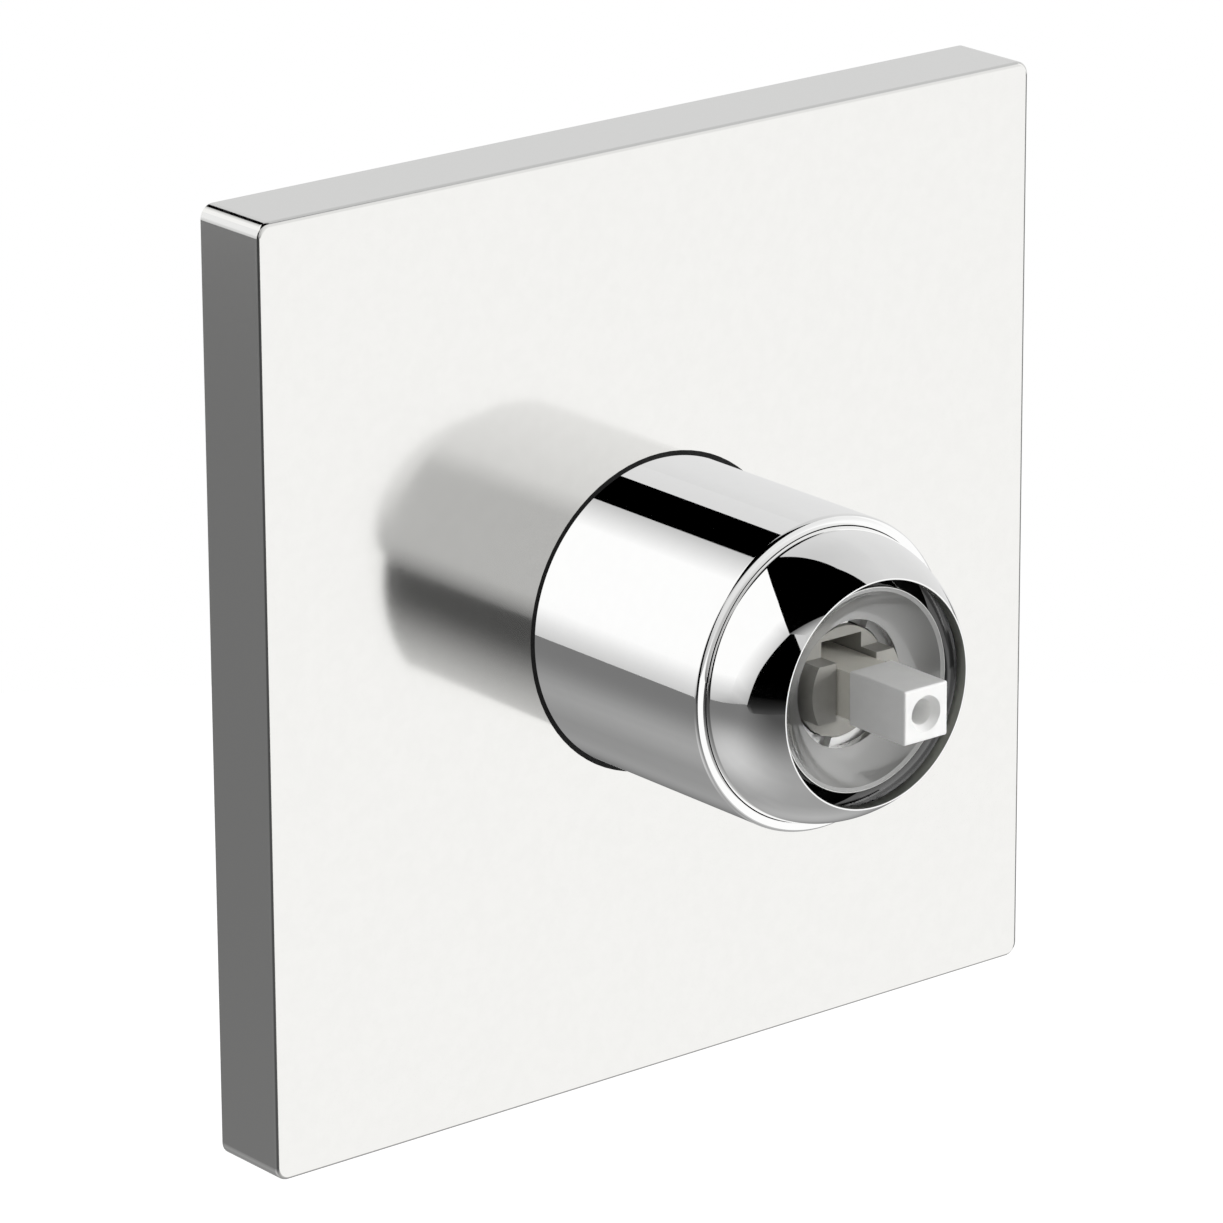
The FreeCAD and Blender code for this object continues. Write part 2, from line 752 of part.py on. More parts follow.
def make_cartridge_base():
    """Foot of the cartridge with three ports and seats for their seals."""
    flange_front = chamber_floor + base_flange_depth
    base = fuse_all([rod(cartridge_r, y_ahead(flange_front), y_ahead(chamber_floor)),
                     rod(fixed_disc_r, y_ahead(base_top), y_ahead(chamber_floor))])
    for x, z, radius in port_places():
        base = base.cut(rod(radius, y_ahead(base_top), y_ahead(chamber_floor), x, z))
        base = base.cut(rod(radius + base_seal_width, y_ahead(chamber_floor + base_seal_depth),
                            y_ahead(chamber_floor), x, z))
    save("cartridge_base", base)


def make_base_seals():
    """Three rubber rings between the cartridge and the chamber floor."""
    save("base_seals", *[
        ring(radius + base_seal_width, radius, y_ahead(chamber_floor + base_seal_depth),
             y_ahead(chamber_floor), x, z)
        for x, z, radius in port_places()])


def make_fixed_disc():
    """Lower ceramic disc with the three ports."""
    disc = rod(fixed_disc_r, y_ahead(fixed_disc_top), y_ahead(base_top))
    for x, z, radius in port_places():
        disc = disc.cut(rod(radius, y_ahead(fixed_disc_top), y_ahead(base_top), x, z))
    save("fixed_disc", disc)


def make_moving_disc():
    """Upper ceramic disc, whose recess joins the ports that it uncovers."""
    disc = rod(moving_disc_r, y_ahead(moving_disc_top), y_ahead(moving_disc_bottom))
    recess = rod(mixing_recess_r, y_ahead(moving_disc_bottom + mixing_recess_depth),
                 y_ahead(moving_disc_bottom), 0, mixing_recess_z)
    disc = disc.cut(recess)
    for x in (-peg_hole_x, peg_hole_x):
        disc = disc.cut(rod(drive_peg_r + drive_peg_gap, y_ahead(moving_disc_top),
                            y_ahead(moving_disc_top - drive_peg_depth - drive_peg_gap), x, 0))
    save("moving_disc", disc)


def make_disc_slider():
    """Slide between the stem's ball and the moving disc, guided by two lugs."""
    socket_floor = ball_ahead - stem_ball_r - socket_gap
    slider = fuse_all([
        rod(moving_disc_r, y_ahead(slider_top), y_ahead(moving_disc_top)),
        block(-boss_half_width, boss_half_width, y_ahead(boss_top), y_ahead(moving_disc_top),
              -boss_half_height, boss_half_height),
    ])
    slider = slider.cut(rod(stem_ball_r + socket_gap, y_ahead(boss_top), y_ahead(socket_floor)))
    pegs = [rod(drive_peg_r, y_ahead(moving_disc_top), y_ahead(moving_disc_top - drive_peg_depth), x, 0)
            for x in (-peg_hole_x, peg_hole_x)]
    save("disc_slider", fuse_all([slider] + pegs))


def make_lever_guide():
    """Turning guide with the slot that the stem swings in, between two cheeks on its head."""
    cheeks = rod(hub_r, y_ahead(head_top), y_ahead(hub_top)).common(
        block(-hub_r, hub_r, y_ahead(head_top), y_ahead(hub_top), -head_half_height, head_half_height))
    guide = fuse_all([rod(guide_flange_r, y_ahead(flange_top), y_ahead(guide_bottom)),
                      rod(hub_r, y_ahead(hub_top), y_ahead(guide_bottom)), cheeks])
    lug_start = boss_half_width + lug_side_gap
    for side in (-1, 1):
        lug = block(side * lug_start, side * (lug_start + lug_thick), y_ahead(pivot_ahead),
                    y_ahead(slider_top + lug_end_gap), -lug_half_height, lug_half_height)
        guide = guide.fuse(lug)
    slot = block(-slot_half_width, slot_half_width, y_ahead(hub_top), y_ahead(guide_bottom),
                 -slot_bottom, slot_top)
    head_slot = block(-slot_half_width, slot_half_width, y_ahead(head_top), y_ahead(hub_top),
                      -hub_r, hub_r)
    pin_hole = bar(pin_r, Vector(-2 * guide_flange_r, y_ahead(pivot_ahead), 0),
                   Vector(2 * guide_flange_r, y_ahead(pivot_ahead), 0))
    save("lever_guide", guide.removeSplitter().cut([slot, head_slot, pin_hole]))


def make_pivot_pin():
    """Steel pin that the stem swings on."""
    half = guide_flange_r - guide_run_gap
    place = y_ahead(pivot_ahead)
    save("pivot_pin", bar(pin_r, Vector(-half, place, 0), Vector(half, place, 0)))


def make_stem():
    """Square stem for the lever, with its neck, pin hole and ball end."""
    square = block(-stem_half, stem_half, y_ahead(stem_end), y_ahead(stem_neck_top), -stem_half, stem_half)
    square = square.makeFillet(stem_edge_r, square.Edges)
    heel = pivot_ahead - neck_heel
    tail_start = heel - (stem_neck_half - stem_tail_r)
    neck = block(-stem_neck_half, stem_neck_half, y_ahead(stem_neck_top + 2 * stem_edge_r), y_ahead(heel),
                 -stem_neck_half, stem_neck_half)
    taper = Part.makeCone(stem_neck_half, stem_tail_r, heel - tail_start,
                          Vector(0, y_ahead(heel), 0), Vector(0, 1, 0))
    tail = rod(stem_tail_r, y_ahead(heel), y_ahead(ball_ahead))
    ball = Part.makeSphere(stem_ball_r, Vector(0, y_ahead(ball_ahead), 0))
    stem = fuse_all([square, neck, taper, tail, ball])
    stem = stem.cut(rod(stem_bore_r, y_ahead(stem_end), y_ahead(stem_end - stem_bore_depth)))
    stem = stem.cut(Part.makeCone(stem_sink_r, stem_bore_r, stem_sink_depth,
                                  Vector(0, y_ahead(stem_end), 0), Vector(0, 1, 0)))
    pin_hole = bar(pin_r + pin_run_gap, Vector(-stem_width, y_ahead(pivot_ahead), 0),
                   Vector(stem_width, y_ahead(pivot_ahead), 0))
    save("stem", stem.cut(pin_hole))


def make_outlet_plug():
    """Hexagon-socket plug in the spare top port, with its flat seal."""
    spare = port_ways()[3]
    seal_top = port_reach + plug_seal_depth
    seal_bore_r = port_thread_r + port_mouth_chamfer
    mouth, head_seat = port_point(spare, port_reach), port_point(spare, seal_top)
    seal = bar(seal_bore_r + plug_seal_wall, mouth, head_seat)
    save("plug_seal", seal.cut(bar(seal_bore_r, mouth, head_seat)))

    head_top = port_point(spare, seal_top + plug_head_depth)
    head = bar(plug_head_r, head_seat, head_top)
    rim = [e for e in head.Edges if e.BoundBox.ZMin > head_top.z - match_tolerance]
    head = head.makeChamfer(plug_head_chamfer, rim)
    thread_end = port_point(spare, port_reach - plug_thread_depth)
    thread = bar(port_thread_r - plug_thread_gap, thread_end, head_seat)
    socket = prism(plug_socket_flats, hex_sides, head_top, spare * -plug_socket_depth)
    save("outlet_plug", fuse_all([head, thread]).cut(socket))


def along_port(shape, way):
    """Turns a shape made along +X from the valve's axis to lie in a port."""
    if way.x < 0:
        shape.rotate(Vector(0, 0, 0), Vector(0, 0, 1), 180)
    shape.translate(Vector(0, port_axis_depth, 0))
    return shape


def tube_x(outer_r, inner_r, start, end):
    """A plain tube along +X."""
    outer = bar(outer_r, Vector(start, 0, 0), Vector(end, 0, 0))
    return outer.cut(bar(inner_r, Vector(start, 0, 0), Vector(end, 0, 0)))


def rod_x(radius, start, end):
    """A round bar along +X."""
    return bar(radius, Vector(start, 0, 0), Vector(end, 0, 0))


def check_housing():
    """Tube of a check valve with its seat at one end and a guide spider at the other."""
    bore_r = check_r - check_wall
    tube = tube_x(check_r, bore_r, check_bore_floor, check_end)
    seat = tube_x(check_r, seat_hole_r, seat_start, check_end)
    parts = [tube, seat, rod_x(spider_hub_r, check_bore_floor, spider_front)]
    half = spider_arm_width / 2
    for i in range(spider_arms):
        arm = block(check_bore_floor, spider_front, -half, half, 0, check_r - check_wall / 2)
        arm.rotate(Vector(0, 0, 0), Vector(1, 0, 0), 360.0 * i / spider_arms)
        parts.append(arm)
    body = fuse_all(parts).cut(rod_x(poppet_stem_r + poppet_guide_gap, check_bore_floor, spider_front))
    groove_half = check_seal_section_r + check_seal_fit
    floor_r = check_bore_r - 2 * check_seal_section_r - check_seal_fit
    groove = tube_x(check_bore_r, floor_r, check_seal_place - groove_half, check_seal_place + groove_half)
    return body.cut(groove)


def check_seal():
    """Rubber ring on the outside of a check valve."""
    middle_r = check_bore_r - check_seal_section_r - check_seal_fit / 2
    place = Vector(check_seal_place, 0, 0)
    return Part.makeTorus(middle_r, check_seal_section_r - check_seal_fit / 2, place, Vector(1, 0, 0))


def check_poppet():
    """Closing head of a check valve with its guide stem."""
    head = rod_x(poppet_r, poppet_back, poppet_front)
    stem = rod_x(poppet_stem_r, check_bore_floor + poppet_stem_inset, poppet_front)
    return fuse_all([head, stem])


def wire_gap(path):
    """The least gap of the spring's wire to itself, half a turn or more along it."""
    points = path.discretize(gap_points_per_turn * spring_turns)
    nearest = min(
        points[i].distanceToPoint(points[j])
        for i in range(len(points))
        for j in range(i + gap_points_per_turn // 2, len(points)))
    return nearest - 2 * spring_wire_r


def check_spring():
    """Coil spring between the spider and the poppet head."""
    start = spider_front + spring_wire_r + spring_end_gap
    pitch = (poppet_back - spring_wire_r - spring_end_gap - start) / spring_turns
    edges = []
    for i in range(arcs_per_turn * spring_turns):
        edges += biarc(*helix_point(i / arcs_per_turn, pitch), *helix_point((i + 1) / arcs_per_turn, pitch))
    path = Part.Wire(edges)
    point, way = helix_point(0, pitch)
    section = Part.Wire(Part.makeCircle(spring_wire_r, point, way))
    coil = path.makePipeShell([section], True, False)
    coil.translate(Vector(start, 0, 0))
    print("least gap of the spring's wire to itself %.2f mm" % wire_gap(path))
    return coil


def strainer():
    """Disc with rings of holes that keeps grit out of a check valve."""
    disc = rod_x(check_r, check_end, check_end + strainer_depth)
    holes = []
    for i in range(strainer_rings + 1):
        for y, z in around(i * strainer_ring_pitch, max(1, i * strainer_ring_holes)):
            front = Vector(check_end + strainer_depth, y, z)
            holes.append(bar(strainer_hole_r, Vector(check_end, y, z), front))
    return disc.cut(Part.makeCompound(holes))


def make_inlets():
    """The check valve and strainer of each inlet."""
    hot, cold = port_ways()[:2]
    for side, way in (("hot", hot), ("cold", cold)):
        save(side + "_check_housing", along_port(check_housing(), way))
        save(side + "_check_seal", along_port(check_seal(), way))
        save(side + "_check_poppet", along_port(check_poppet(), way))
        save(side + "_check_spring", along_port(check_spring(), way))
        save(side + "_strainer", along_port(strainer(), way))


def main():
    os.makedirs("parts", exist_ok=True)
    make_cover_plate()
    make_wall_seal()
    make_sleeve_seal()
    make_sleeve()
    make_dome_cap()
    make_neck_rings()
    make_plate_carrier()
    make_carrier_grommets()
    make_carrier_screws()
    make_fixing_screws()
    make_valve_body()
    make_cartridge_nut()
    make_limit_ring()
    make_cartridge_housing()
    make_cartridge_base()
    make_base_seals()
    make_fixed_disc()
    make_moving_disc()
    make_disc_slider()
    make_lever_guide()
    make_pivot_pin()
    make_stem()
    make_outlet_plug()
    make_inlets()
    print("radii: nut hole %.2f, nut rim %.2f, dome mouth %.2f, dome %.2f, sleeve %.2f, plate hole %.2f" % (
        nut_hole_r, nut_rim_r, dome_mouth_r, dome_r, sleeve_r, plate_hole_r))
    print("in front of the plate: pivot %.2f, sleeve %.2f, dome mouth %.2f, stem end %.2f" % (
        pivot_ahead, sleeve_front, dome_mouth, stem_end))
    print("disc travel per radian of swing %.2f, peg circle %.2f, carrier %.2f, flange %.2f" % (
        finger_length, peg_circle_r, carrier_r, flange_r))


main()
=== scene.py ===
import math

import bmesh
import bpy
from mathutils import Matrix, Vector


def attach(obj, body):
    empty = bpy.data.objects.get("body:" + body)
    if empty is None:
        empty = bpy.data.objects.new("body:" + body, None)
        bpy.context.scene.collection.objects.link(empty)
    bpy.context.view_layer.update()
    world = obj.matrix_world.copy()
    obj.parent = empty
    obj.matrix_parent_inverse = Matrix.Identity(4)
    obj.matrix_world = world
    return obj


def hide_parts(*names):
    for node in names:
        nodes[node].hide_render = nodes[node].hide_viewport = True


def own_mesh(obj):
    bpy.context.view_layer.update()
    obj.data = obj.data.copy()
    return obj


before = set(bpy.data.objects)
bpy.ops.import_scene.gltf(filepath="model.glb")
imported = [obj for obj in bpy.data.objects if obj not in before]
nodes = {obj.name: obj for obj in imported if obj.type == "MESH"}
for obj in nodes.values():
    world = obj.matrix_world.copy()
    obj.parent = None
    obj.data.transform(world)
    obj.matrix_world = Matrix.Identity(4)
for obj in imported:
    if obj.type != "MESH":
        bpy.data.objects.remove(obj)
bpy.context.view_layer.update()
MM = 0.001

# Camera, at the photograph's viewing angle
camera_place = Vector((-0.76079, -0.94452, 0.40289))
camera_right = Vector((0.77695, -0.62955, -0.00495))
camera_down = Vector((-0.20395, -0.24425, -0.94802))
camera_forward = Vector((0.59562, 0.73757, -0.31816))
camera_lens = 213.77
camera_sensor = 36.0
camera_reach = 20.0


def make_camera():
    data = bpy.data.cameras.new("camera")
    data.lens = camera_lens
    data.sensor_width = camera_sensor
    data.clip_end = camera_reach
    camera = bpy.data.objects.new("camera", data)
    turn = Matrix((camera_right, -camera_down, -camera_forward)).transposed()
    camera.matrix_world = Matrix.Translation(camera_place) @ turn.to_4x4()
    bpy.context.scene.collection.objects.link(camera)
    bpy.context.scene.camera = camera


# Shader nodes. A mix node has places for its first and second value and for its result.
mix_places = {"FLOAT": (2, 3, 0), "RGBA": (6, 7, 2)}


def feed(tree, socket, value):
    """Sets a number or a colour on a socket, or links another node's output to it."""
    if isinstance(value, float):
        socket.default_value = value
    elif isinstance(value, tuple):
        socket.default_value = (*value, 1)
    else:
        tree.links.new(value, socket)


def math_node(tree, operation, first, second=0.0):
    node = tree.nodes.new("ShaderNodeMath")
    node.operation = operation
    feed(tree, node.inputs[0], first)
    feed(tree, node.inputs[1], second)
    return node.outputs[0]


def blend(tree, kind, factor, first, second):
    """The first of two values where the factor is nought, and the second where it is one."""
    mix = tree.nodes.new("ShaderNodeMix")
    mix.data_type = kind
    first_place, second_place, result_place = mix_places[kind]
    tree.links.new(factor, mix.inputs["Factor"])
    feed(tree, mix.inputs[first_place], first)
    feed(tree, mix.inputs[second_place], second)
    return mix.outputs[result_place]


def blend_colours(tree, factor, first, second):
    return blend(tree, "RGBA", factor, first, second)


def blend_values(tree, factor, first, second):
    return blend(tree, "FLOAT", factor, first, second)


def mapped(tree, value, source, target):
    """A value brought from one range into another."""
    span = tree.nodes.new("ShaderNodeMapRange")
    span.inputs["From Min"].default_value = source[0]
    span.inputs["From Max"].default_value = source[1]
    span.inputs["To Min"].default_value = target[0]
    span.inputs["To Max"].default_value = target[1]
    tree.links.new(value, span.inputs["Value"])
    return span.outputs["Result"]


def place(tree):
    """The three coordinates of the object, apart."""
    coordinates = tree.nodes.new("ShaderNodeTexCoord")
    apart = tree.nodes.new("ShaderNodeSeparateXYZ")
    tree.links.new(coordinates.outputs["Object"], apart.inputs["Vector"])
    return apart.outputs["X"], apart.outputs["Y"], apart.outputs["Z"]


def sum_of_squares(tree, first, second):
    first_square = math_node(tree, "MULTIPLY", first, first)
    second_square = math_node(tree, "MULTIPLY", second, second)
    return math_node(tree, "ADD", first_square, second_square)


def square_reach(tree, first, second):
    """Half the side of the square round the middle that passes through a point."""
    first_reach = math_node(tree, "ABSOLUTE", first)
    second_reach = math_node(tree, "ABSOLUTE", second)
    return math_node(tree, "MAXIMUM", first_reach, second_reach)


def mix_by_path(tree, soft, seen, out):
    """One shader for soft light, another for rays from the camera, a mirror or a clear body."""
    path = tree.nodes.new("ShaderNodeLightPath")
    glossy = math_node(tree, "MAXIMUM", path.outputs["Is Camera Ray"], path.outputs["Is Glossy Ray"])
    clear = math_node(tree, "MAXIMUM", glossy, path.outputs["Is Transmission Ray"])
    mix = tree.nodes.new("ShaderNodeMixShader")
    tree.links.new(clear, mix.inputs["Fac"])
    tree.links.new(soft, mix.inputs[1])
    tree.links.new(seen, mix.inputs[2])
    tree.links.new(mix.outputs[0], out.inputs["Surface"])


# Light on the object
light_colour = (1, 1, 1, 1)
surround_white = 1.0
soft_light = 0.40
key_way = Vector((0.60, -0.78, 0.18))
key_distance = 2.0
key_size = 0.8
key_power = 31.0


def background(tree, strength):
    shader = tree.nodes.new("ShaderNodeBackground")
    shader.inputs["Color"].default_value = light_colour
    shader.inputs["Strength"].default_value = strength
    return shader.outputs[0]


def make_world():
    world = bpy.data.worlds.new("surround")
    bpy.context.scene.world = world
    world.use_nodes = True
    tree = world.node_tree
    tree.nodes.clear()
    out = tree.nodes.new("ShaderNodeOutputWorld")
    mix_by_path(tree, background(tree, soft_light), background(tree, surround_white), out)


def make_key_lamp():
    data = bpy.data.lights.new("key", "AREA")
    data.shape = "DISK"
    data.size = key_size
    data.energy = key_power
    lamp = bpy.data.objects.new("key", data)
    lamp.location = key_way.normalized() * key_distance
    lamp.rotation_euler = key_way.to_track_quat("Z", "Y").to_euler()
    lamp.visible_glossy = False
    bpy.context.scene.collection.objects.link(lamp)


# Points and meshes
def steps_between(low, high, count):
    return [low + (high - low) * i / count for i in range(count + 1)]


def full_turn(count):
    """Equal steps of angle, once round."""
    return steps_between(0, 2 * math.pi, count)[:-1]


def mesh_object(name, points, faces, smooth=True):
    mesh = bpy.data.meshes.new(name)
    mesh.from_pydata([tuple(point) for point in points], [], faces)
    mesh.validate()
    for polygon in mesh.polygons:
        polygon.use_smooth = smooth
    piece = bpy.data.objects.new(name, mesh)
    bpy.context.scene.collection.objects.link(piece)
    return piece


def finish_piece(piece, material, slot, *replaced, body="valve"):
    piece.data.materials.append(material)
    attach(piece, body)
    if replaced:
        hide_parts(*replaced)


# Studio cards, which only mirrors see. Corners are slopes as seen from the object.
ceiling_height = 3.0
wall_distance = 3.0
floor_depth = 2.0
left_screen_nearness = 0.998
right_screen_nearness = 0.97

# Shades of cards
black = 0.0
white = 1.0
left_front = 0.51
right_front = 0.80
left_top_shade = 0.6
right_low_shade = 0.22

# Corners of plain cards
overhead_corners = [
    (-0.93, -0.46), (-0.19, -0.56), (0.9, -0.75), (0.34, 0.0), (0.23, 0.26), (0.07, 0.67),
    (0.47, 1.02), (0.5, 1.2), (0.56, 2.0), (0.0, 2.0), (-0.02, 1.1), (-0.08, 0.65), (-0.50, 0.08)]
left_corners = [(-0.02, -0.22), (-0.16, 0.24), (-0.56, 1.2), (-0.83, 0.83), (-0.83, -0.1), (-0.3, -0.1)]
left_top_corners = [(-0.56, 1.2), (-0.83, 0.83), (-1.3, 0.7), (-1.3, 1.7), (-0.7, 1.7), (-0.64, 1.45)]
right_low_corners = [(-0.65, -0.2), (0.7, -0.2), (0.7, -0.62), (-0.65, -0.62)]

# Rows of corners with a shade each, for cards that grade from one row to the next
tail_fade_rows = [
    [(-0.02, 1.0, 0.54), (-0.01, 1.6, 0.54)],
    [(-0.45, 1.0, white), (-0.44, 1.6, white)]]
left_fade_rows = [
    [(-0.026, -0.2, 0.40), (-0.066, -0.07, 0.50), (-0.148, 0.2, 0.64), (-0.31, 0.6, 0.62),
     (-0.468, 0.98, 0.58), (-0.56, 1.2, 0.62), (-0.64, 1.45, 0.8), (-0.7, 1.7, white)],
    [(0.2, -0.2, 0.45), (0.19, -0.07, 0.69), (0.14, 0.12, 0.97), (0.03, 0.45, white),
     (-0.1, 0.85, white), (-0.15, 1.15, white), (-0.25, 1.45, white), (-0.3, 1.7, white)]]
left_low_rows = [
    [(-0.9, -0.07, black), (-0.3, -0.07, black), (-0.12, -0.07, black), (-0.066, -0.07, black)],
    [(-0.9, -0.18, 0.016), (-0.3, -0.18, 0.016), (-0.09, -0.18, 0.016), (-0.033, -0.18, 0.016)],
    [(-0.9, -0.215, 0.024), (-0.3, -0.215, 0.024), (-0.075, -0.215, 0.024), (-0.022, -0.215, 0.05)],
    [(-0.9, -0.3, 0.05), (-0.3, -0.3, 0.055), (-0.115, -0.3, 0.065), (-0.055, -0.3, 0.16)]]
overhead_front_rows = [
    [(-0.93, -0.46, 0.1), (-0.5, -0.518, 0.15), (-0.19, -0.56, 0.25), (0.9, -0.75, 0.7)],
    [(-0.75, -0.7, 0.57), (-0.5, -0.72, 0.57), (-0.19, -0.75, 0.57), (0.9, -0.82, 0.75)],
    [(-1.83, -1.67, left_front), (-0.4, -1.0, left_front), (0.26, -0.87, right_front),
     (1.13, -0.87, right_front)]]
overhead_right_rows = [
    [(0.9, -0.75, 0.62), (0.34, 0.0, 0.60), (0.23, 0.26, 0.58), (0.07, 0.67, 0.62), (0.47, 1.02, 0.68),
     (0.5, 1.2, 0.71), (0.56, 2.0, 0.72)],
    [(1.1, -0.75, 0.70), (1.1, 0.0, 0.69), (1.1, 0.26, 0.69), (1.1, 0.67, 0.71), (1.1, 1.02, 0.73),
     (1.1, 1.2, 0.74), (1.1, 2.0, 0.75)]]
right_rows = [
    [(-0.3, 1.0, 0.68), (0.2, 1.0, 0.69), (0.8, 1.0, 0.71), (1.5, 1.0, 0.71), (4.0, 1.0, 0.73)],
    [(-0.3, 0.6, 0.68), (0.2, 0.6, 0.70), (0.8, 0.6, 0.75), (1.5, 0.6, 0.74), (4.0, 0.6, 0.74)],
    [(-0.3, -0.7, 0.68), (0.2, -0.7, 0.72), (0.8, -0.7, 0.82), (1.5, -0.7, 0.78), (4.0, -0.7, 0.78)]]
front_rows = [
    [(-1.1, 0.6, left_front), (-0.34, 1.0, left_front), (-0.04, 1.12, 0.74), (0.4, 1.15, right_front),
     (1.3, 1.15, 0.84)],
    [(-1.1, 0.08, left_front), (-0.34, 0.08, left_front), (-0.04, 0.08, 0.74), (0.4, 0.08, right_front),
     (1.3, 0.08, 0.9)],
    [(-1.1, -0.05, 0.37), (-0.34, -0.05, 0.37), (-0.04, -0.05, 0.6), (0.4, -0.05, right_front),
     (1.3, -0.05, white)],
    [(-1.1, -0.17, 0.19), (-0.34, -0.17, 0.19), (-0.04, -0.17, 0.5), (0.4, -0.17, right_front),
     (1.3, -0.17, white)]]

# Floor card: a rectangle turned so that its far edge is the horizon behind on the left
floor_across = (0.771, -0.636)
floor_along = (0.636, 0.771)
floor_edges = ((-3.93, 0.85), (-9.0, 4.2))
floor_cells = (24, 60)
floor_front_shade = 0.075
floor_lift = 0.11
floor_lift_start = -1.15
floor_lift_reach = 1.5

# A pool of light has its middle, its lift and its reach to the left, right, front and back.
floor_pools = [
    ((-0.72, 0.45), 0.41, (0.95, 0.57), (0.56, 0.84)),
    ((0.50, -1.15), 0.58, (1.2, 1.2), (1.2, 0.95)),
    ((0.45, 0.55), 0.24, (0.38, 0.75), (0.38, 0.75)),
]

# The horizon's height for its distance, with its shade at the front and at the back
horizon_rows = [(0.1, white, white), (0.01, 0.85, 0.99), (-0.05, 0.75, 0.9), (-0.1, 0.68, 0.81),
                (-0.164, 0.55, 0.71), (-0.254, 0.37, 0.6)]
horizon_places = [-9.0, -2.1, 0.5, 4.2]


def bare_material(name):
    material = bpy.data.materials.new(name)
    material.use_nodes = True
    material.node_tree.nodes.clear()
    return material, material.node_tree


def card_material():
    """Glow in the shade that each corner of a card has."""
    material, tree = bare_material("studio_card")
    shade = tree.nodes.new("ShaderNodeAttribute")
    shade.attribute_name = "shade"
    glow = tree.nodes.new("ShaderNodeEmission")
    out = tree.nodes.new("ShaderNodeOutputMaterial")
    tree.links.new(shade.outputs["Fac"], glow.inputs["Color"])
    tree.links.new(glow.outputs[0], out.inputs["Surface"])
    return material


def make_card(name, points, shades, faces, material):
    card = mesh_object(name, points, faces, smooth=False)
    card.data.materials.append(material)
    layer = card.data.attributes.new("shade", "FLOAT", "POINT")
    layer.data.foreach_set("value", shades)
    card.visible_camera = False
    card.visible_diffuse = False
    card.visible_transmission = False
    card.visible_volume_scatter = False
    card.visible_shadow = False


def make_plain_card(name, points, shade, material):
    make_card(name, points, [shade] * len(points), [list(range(len(points)))], material)


def make_graded_card(name, rows, material):
    """Rows hold equal counts of a point and its shade."""
    count = len(rows[0])
    points = [point for row in rows for point, shade in row]
    shades = [shade for row in rows for point, shade in row]
    faces = []
    for r in range(len(rows) - 1):
        for c in range(count - 1):
            first = r * count + c
            faces.append([first, first + 1, first + count + 1, first + count])
    make_card(name, points, shades, faces, material)


def shade_of_floor(x, y):
    """The floor card's shade: dark in front, lighter behind, with soft pools of light."""
    rise = min(max((y - floor_lift_start) / floor_lift_reach, 0), 1)
    shade = floor_front_shade + floor_lift * rise * rise * (3 - 2 * rise)
    for middle, lift, across, along in floor_pools:
        off_x, off_y = x - middle[0], y - middle[1]
        off_x /= across[1] if off_x > 0 else across[0]
        off_y /= along[1] if off_y > 0 else along[0]
        shade += lift * math.exp(-off_x * off_x - off_y * off_y)
    return shade


def floor_point(across, along):
    x = across * floor_across[0] + along * floor_along[0]
    y = across * floor_across[1] + along * floor_along[1]
    return x, y


def make_floor_card(material):
    rows = []
    for across in steps_between(*floor_edges[0], floor_cells[0]):
        row = []
        for along in steps_between(*floor_edges[1], floor_cells[1]):
            x, y = floor_point(across, along)
            row.append(((x * floor_depth, y * floor_depth, -floor_depth), shade_of_floor(x, y)))
        rows.append(row)
    make_graded_card("floor_card", rows, material)


def make_horizon_card(material):
    rows = []
    away = floor_edges[0][0]
    for slope, front_shade, back_shade in horizon_rows:
        row = []
        for along, shade in zip(horizon_places, (front_shade, front_shade, back_shade, back_shade)):
            x, y = floor_point(away, along)
            row.append(((x * floor_depth, y * floor_depth, -away * slope * floor_depth), shade))
        rows.append(row)
    make_graded_card("horizon_card", rows, material)


def ceiling(x, y):
    return x * ceiling_height, y * ceiling_height, ceiling_height


def front_wall(x, z):
    return x * wall_distance, -wall_distance, z * wall_distance


def left_wall(y, z):
    return -wall_distance, y * wall_distance, z * wall_distance


def right_wall(y, z):
    return wall_distance, y * wall_distance, z * wall_distance


def left_screen(y, z):
    """A place a little nearer than the left wall."""
    return tuple(left_screen_nearness * value for value in left_wall(y, z))


def right_screen(y, z):
    """A place a little nearer than the right wall."""
    return tuple(right_screen_nearness * value for value in right_wall(y, z))


def make_cards():
    material = card_material()
    plain_cards = (
        ("overhead_card", overhead_corners, ceiling, black),
        ("left_card", left_corners, left_wall, black),
        ("left_top_card", left_top_corners, left_wall, left_top_shade),
        ("right_low_card", right_low_corners, right_screen, right_low_shade),
    )
    for name, corners, surface, shade in plain_cards:
        make_plain_card(name, [surface(*corner) for corner in corners], shade, material)
    graded_cards = (
        ("right_card", right_rows, right_wall),
        ("overhead_front_card", overhead_front_rows, ceiling),
        ("overhead_right_card", overhead_right_rows, ceiling),
        ("tail_fade_card", tail_fade_rows, ceiling),
        ("left_fade_card", left_fade_rows, left_wall),
        ("left_low_card", left_low_rows, left_screen),
        ("front_card", front_rows, front_wall),
    )
    for name, rows, surface in graded_cards:
        placed = [[(surface(a, b), shade) for a, b, shade in row] for row in rows]
        make_graded_card(name, placed, material)
    make_floor_card(material)
    make_horizon_card(material)


# Floor of the room: white to the camera where no shadow falls on it
room_floor_height = -1.4
room_floor_r = 4.0
room_floor_steps = 96
room_floor_paint = (0.8, 0.8, 0.8, 1)
room_floor_fade = (1.2, 1.8)
room_floor_glow = (0.6, 0.75)


